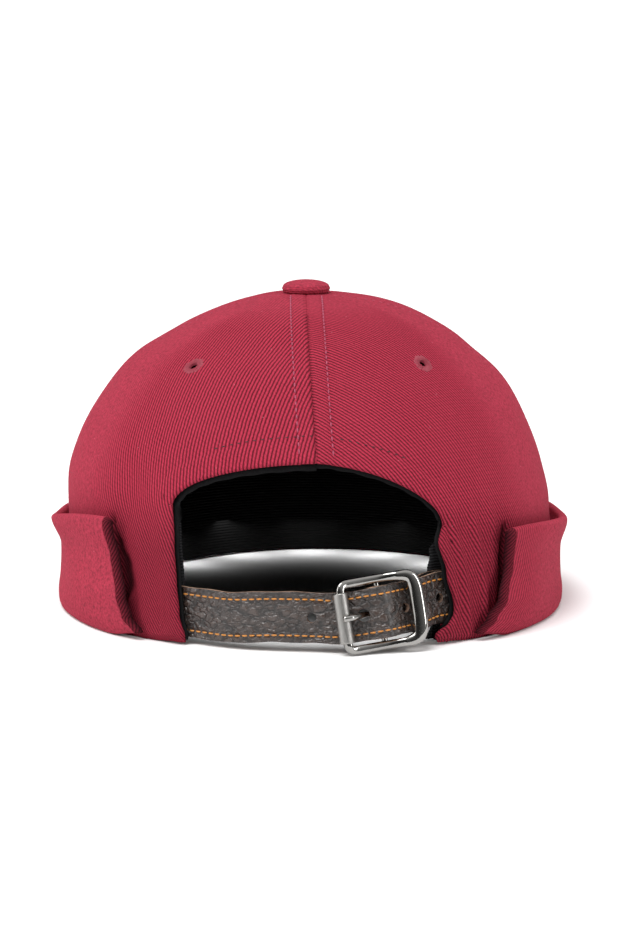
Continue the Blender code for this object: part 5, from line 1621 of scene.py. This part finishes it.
def build_prong():
    """The bright prong, hooked round the bar and lying on the roller with a blunt tip."""
    reach = BAR_RADIUS + GAP + PRONG_RADIUS
    hook = np.linspace(PRONG_HOOK_START, np.pi / 2, 20)
    path = [(reach * math.cos(a), 0, reach * math.sin(a) - BAR_DEPTH) for a in hook]
    start, low = PRONG_HOLE_X + PRONG_HOLE_RADIUS, reach - BAR_DEPTH - PRONG_RADIUS
    high = ROLLER_RADIUS + GAP + PRONG_RADIUS + 0.3 * MM
    for along in np.linspace(0, 1, 24):
        rise = float(eased(along * 1.15))
        path.append((start + (ROLLER_X - start) * along, 0, low + (high - low) * rise))
    path += [(ROLLER_X - ROLLER_RADIUS * share, 0, high) for share in (0.2, 0.35, 0.45, 0.5)]
    # It thickens by nearly half from where it leaves the bar, and its last points round the tip
    radii = PRONG_RADIUS * (1 + 0.45 * eased((np.arange(len(path)) - 18) / 10))
    radii[-3:] *= (0.95, 0.8, 0.5)
    points, faces = tube_mesh(path, radii, 20, upward=np.array((0.0, 1.0, 0.0)))
    add_metal("bright_prong", points, faces, POLISHED, "buckle_prong", "polished_metal")


def build_buckle():
    """The D frame with its bar, the roller and the prong."""
    build_buckle_frame()
    build_roller()
    build_prong()


# Studio


def add_light(name, place, aim, width, depth, watts, spread=180):
    """A soft box. Its spread is how wide it throws its light, in degrees."""
    lamp = bpy.data.lights.new(name, "AREA")
    lamp.shape, lamp.size, lamp.size_y, lamp.energy = "RECTANGLE", width, depth, watts
    lamp.spread = spread * DEGREE
    holder = add_object(name, lamp)
    holder.location = place
    holder.rotation_mode = "QUATERNION"
    holder.rotation_quaternion = (Vector(aim) - Vector(place)).to_track_quat("-Z", "Y")


def build_floor():
    """White paper, wide enough to run out of every view."""
    half = 40
    mesh = bpy.data.meshes.new("studio_floor")
    mesh.from_pydata([(-half, -half, 0), (half, -half, 0), (half, half, 0), (-half, half, 0)], [],
                     [(0, 1, 2, 3)])
    mesh.materials.append(paper_floor("white_studio_paper"))
    add_object("studio_floor", mesh)


def build_room():
    """A room brighter overhead than at eye level, and dim behind the camera, so that metal has
    both to show."""
    world = bpy.data.worlds.new("bright_room")
    world.use_nodes = True
    tree = world.node_tree
    toward = add_node(tree, "TexCoord", out="Generated")
    toward = add_node(tree, "SeparateXYZ", (toward,)).node.outputs
    overhead = add_node(tree, "MapRange", (toward["Z"], 0.0, 0.9, 0.26, 0.94),
                        interpolation_type="SMOOTHSTEP")
    behind = add_node(tree, "MapRange", (toward["Y"], -0.97, -0.62, 0.15, 1.0),
                      interpolation_type="SMOOTHSTEP")
    glow = add_node(tree, "Math", (overhead, behind), operation="MULTIPLY")
    tree.links.new(glow, tree.nodes["Background"].inputs["Strength"])
    tree.nodes["Background"].inputs["Color"].default_value = linear("#FFFFFF")
    bpy.context.scene.world = world


def build_lights():
    """A wide soft light from above the camera's left, a soft box at each side and five small
    lamps inside the front hem, which light the floor there as seen through the opening."""
    sun = bpy.data.lights.new("wide_soft_light", "SUN")
    sun.energy, sun.angle = 2.25, 32 * DEGREE
    add_object("wide_soft_light", sun).rotation_euler = (25 * DEGREE, -15 * DEGREE, 0)
    middle = (0, 0, 0.05)
    add_light("soft_box_left", (-1.05, -0.55, 0.5), middle, width=0.25, depth=0.7, watts=4.6)
    add_light("soft_box_right", (1.05, -0.6, 0.45), middle, width=0.2, depth=0.7, watts=4.4)
    half_width, length, height = 70 * MM, 88 * MM, 13 * MM
    for step in (-2, -1, 0, 1, 2):
        across = half_width * math.sin(22 * step * DEGREE)
        along = length * math.cos(22 * step * DEGREE)
        # Aimed at the floor, a hair's breadth off upright so that its width lies across the cap
        add_light("light_under_the_front_hem", (across, along, height), (across, along + 0.1 * MM, 0),
                  width=18 * MM, depth=6 * MM, watts=0.0018, spread=155)


def build_camera():
    """A long lens, 1.3 m behind the cap and 9 degrees above it."""
    camera = bpy.data.cameras.new("camera")
    camera.sensor_width = 36
    camera.lens = 142
    camera.clip_start = 0.05
    distance, down, target = 1.3, 9 * DEGREE, Vector((0.2 * MM, 0, 47.5 * MM))
    eye = add_object("camera", camera)
    eye.location = target + Vector((0, -distance * math.cos(down), distance * math.sin(down)))
    eye.rotation_euler = (math.pi / 2 - down, 0, 0)
    bpy.context.scene.camera = eye
    bpy.context.scene.view_settings.view_transform = "Standard"


build_panels()
build_stitching()
build_eyelets()
build_button()
build_cuff()
build_lining()
build_sweatband()
build_straps()
build_buckle()
build_floor()
build_room()
build_lights()
build_camera()
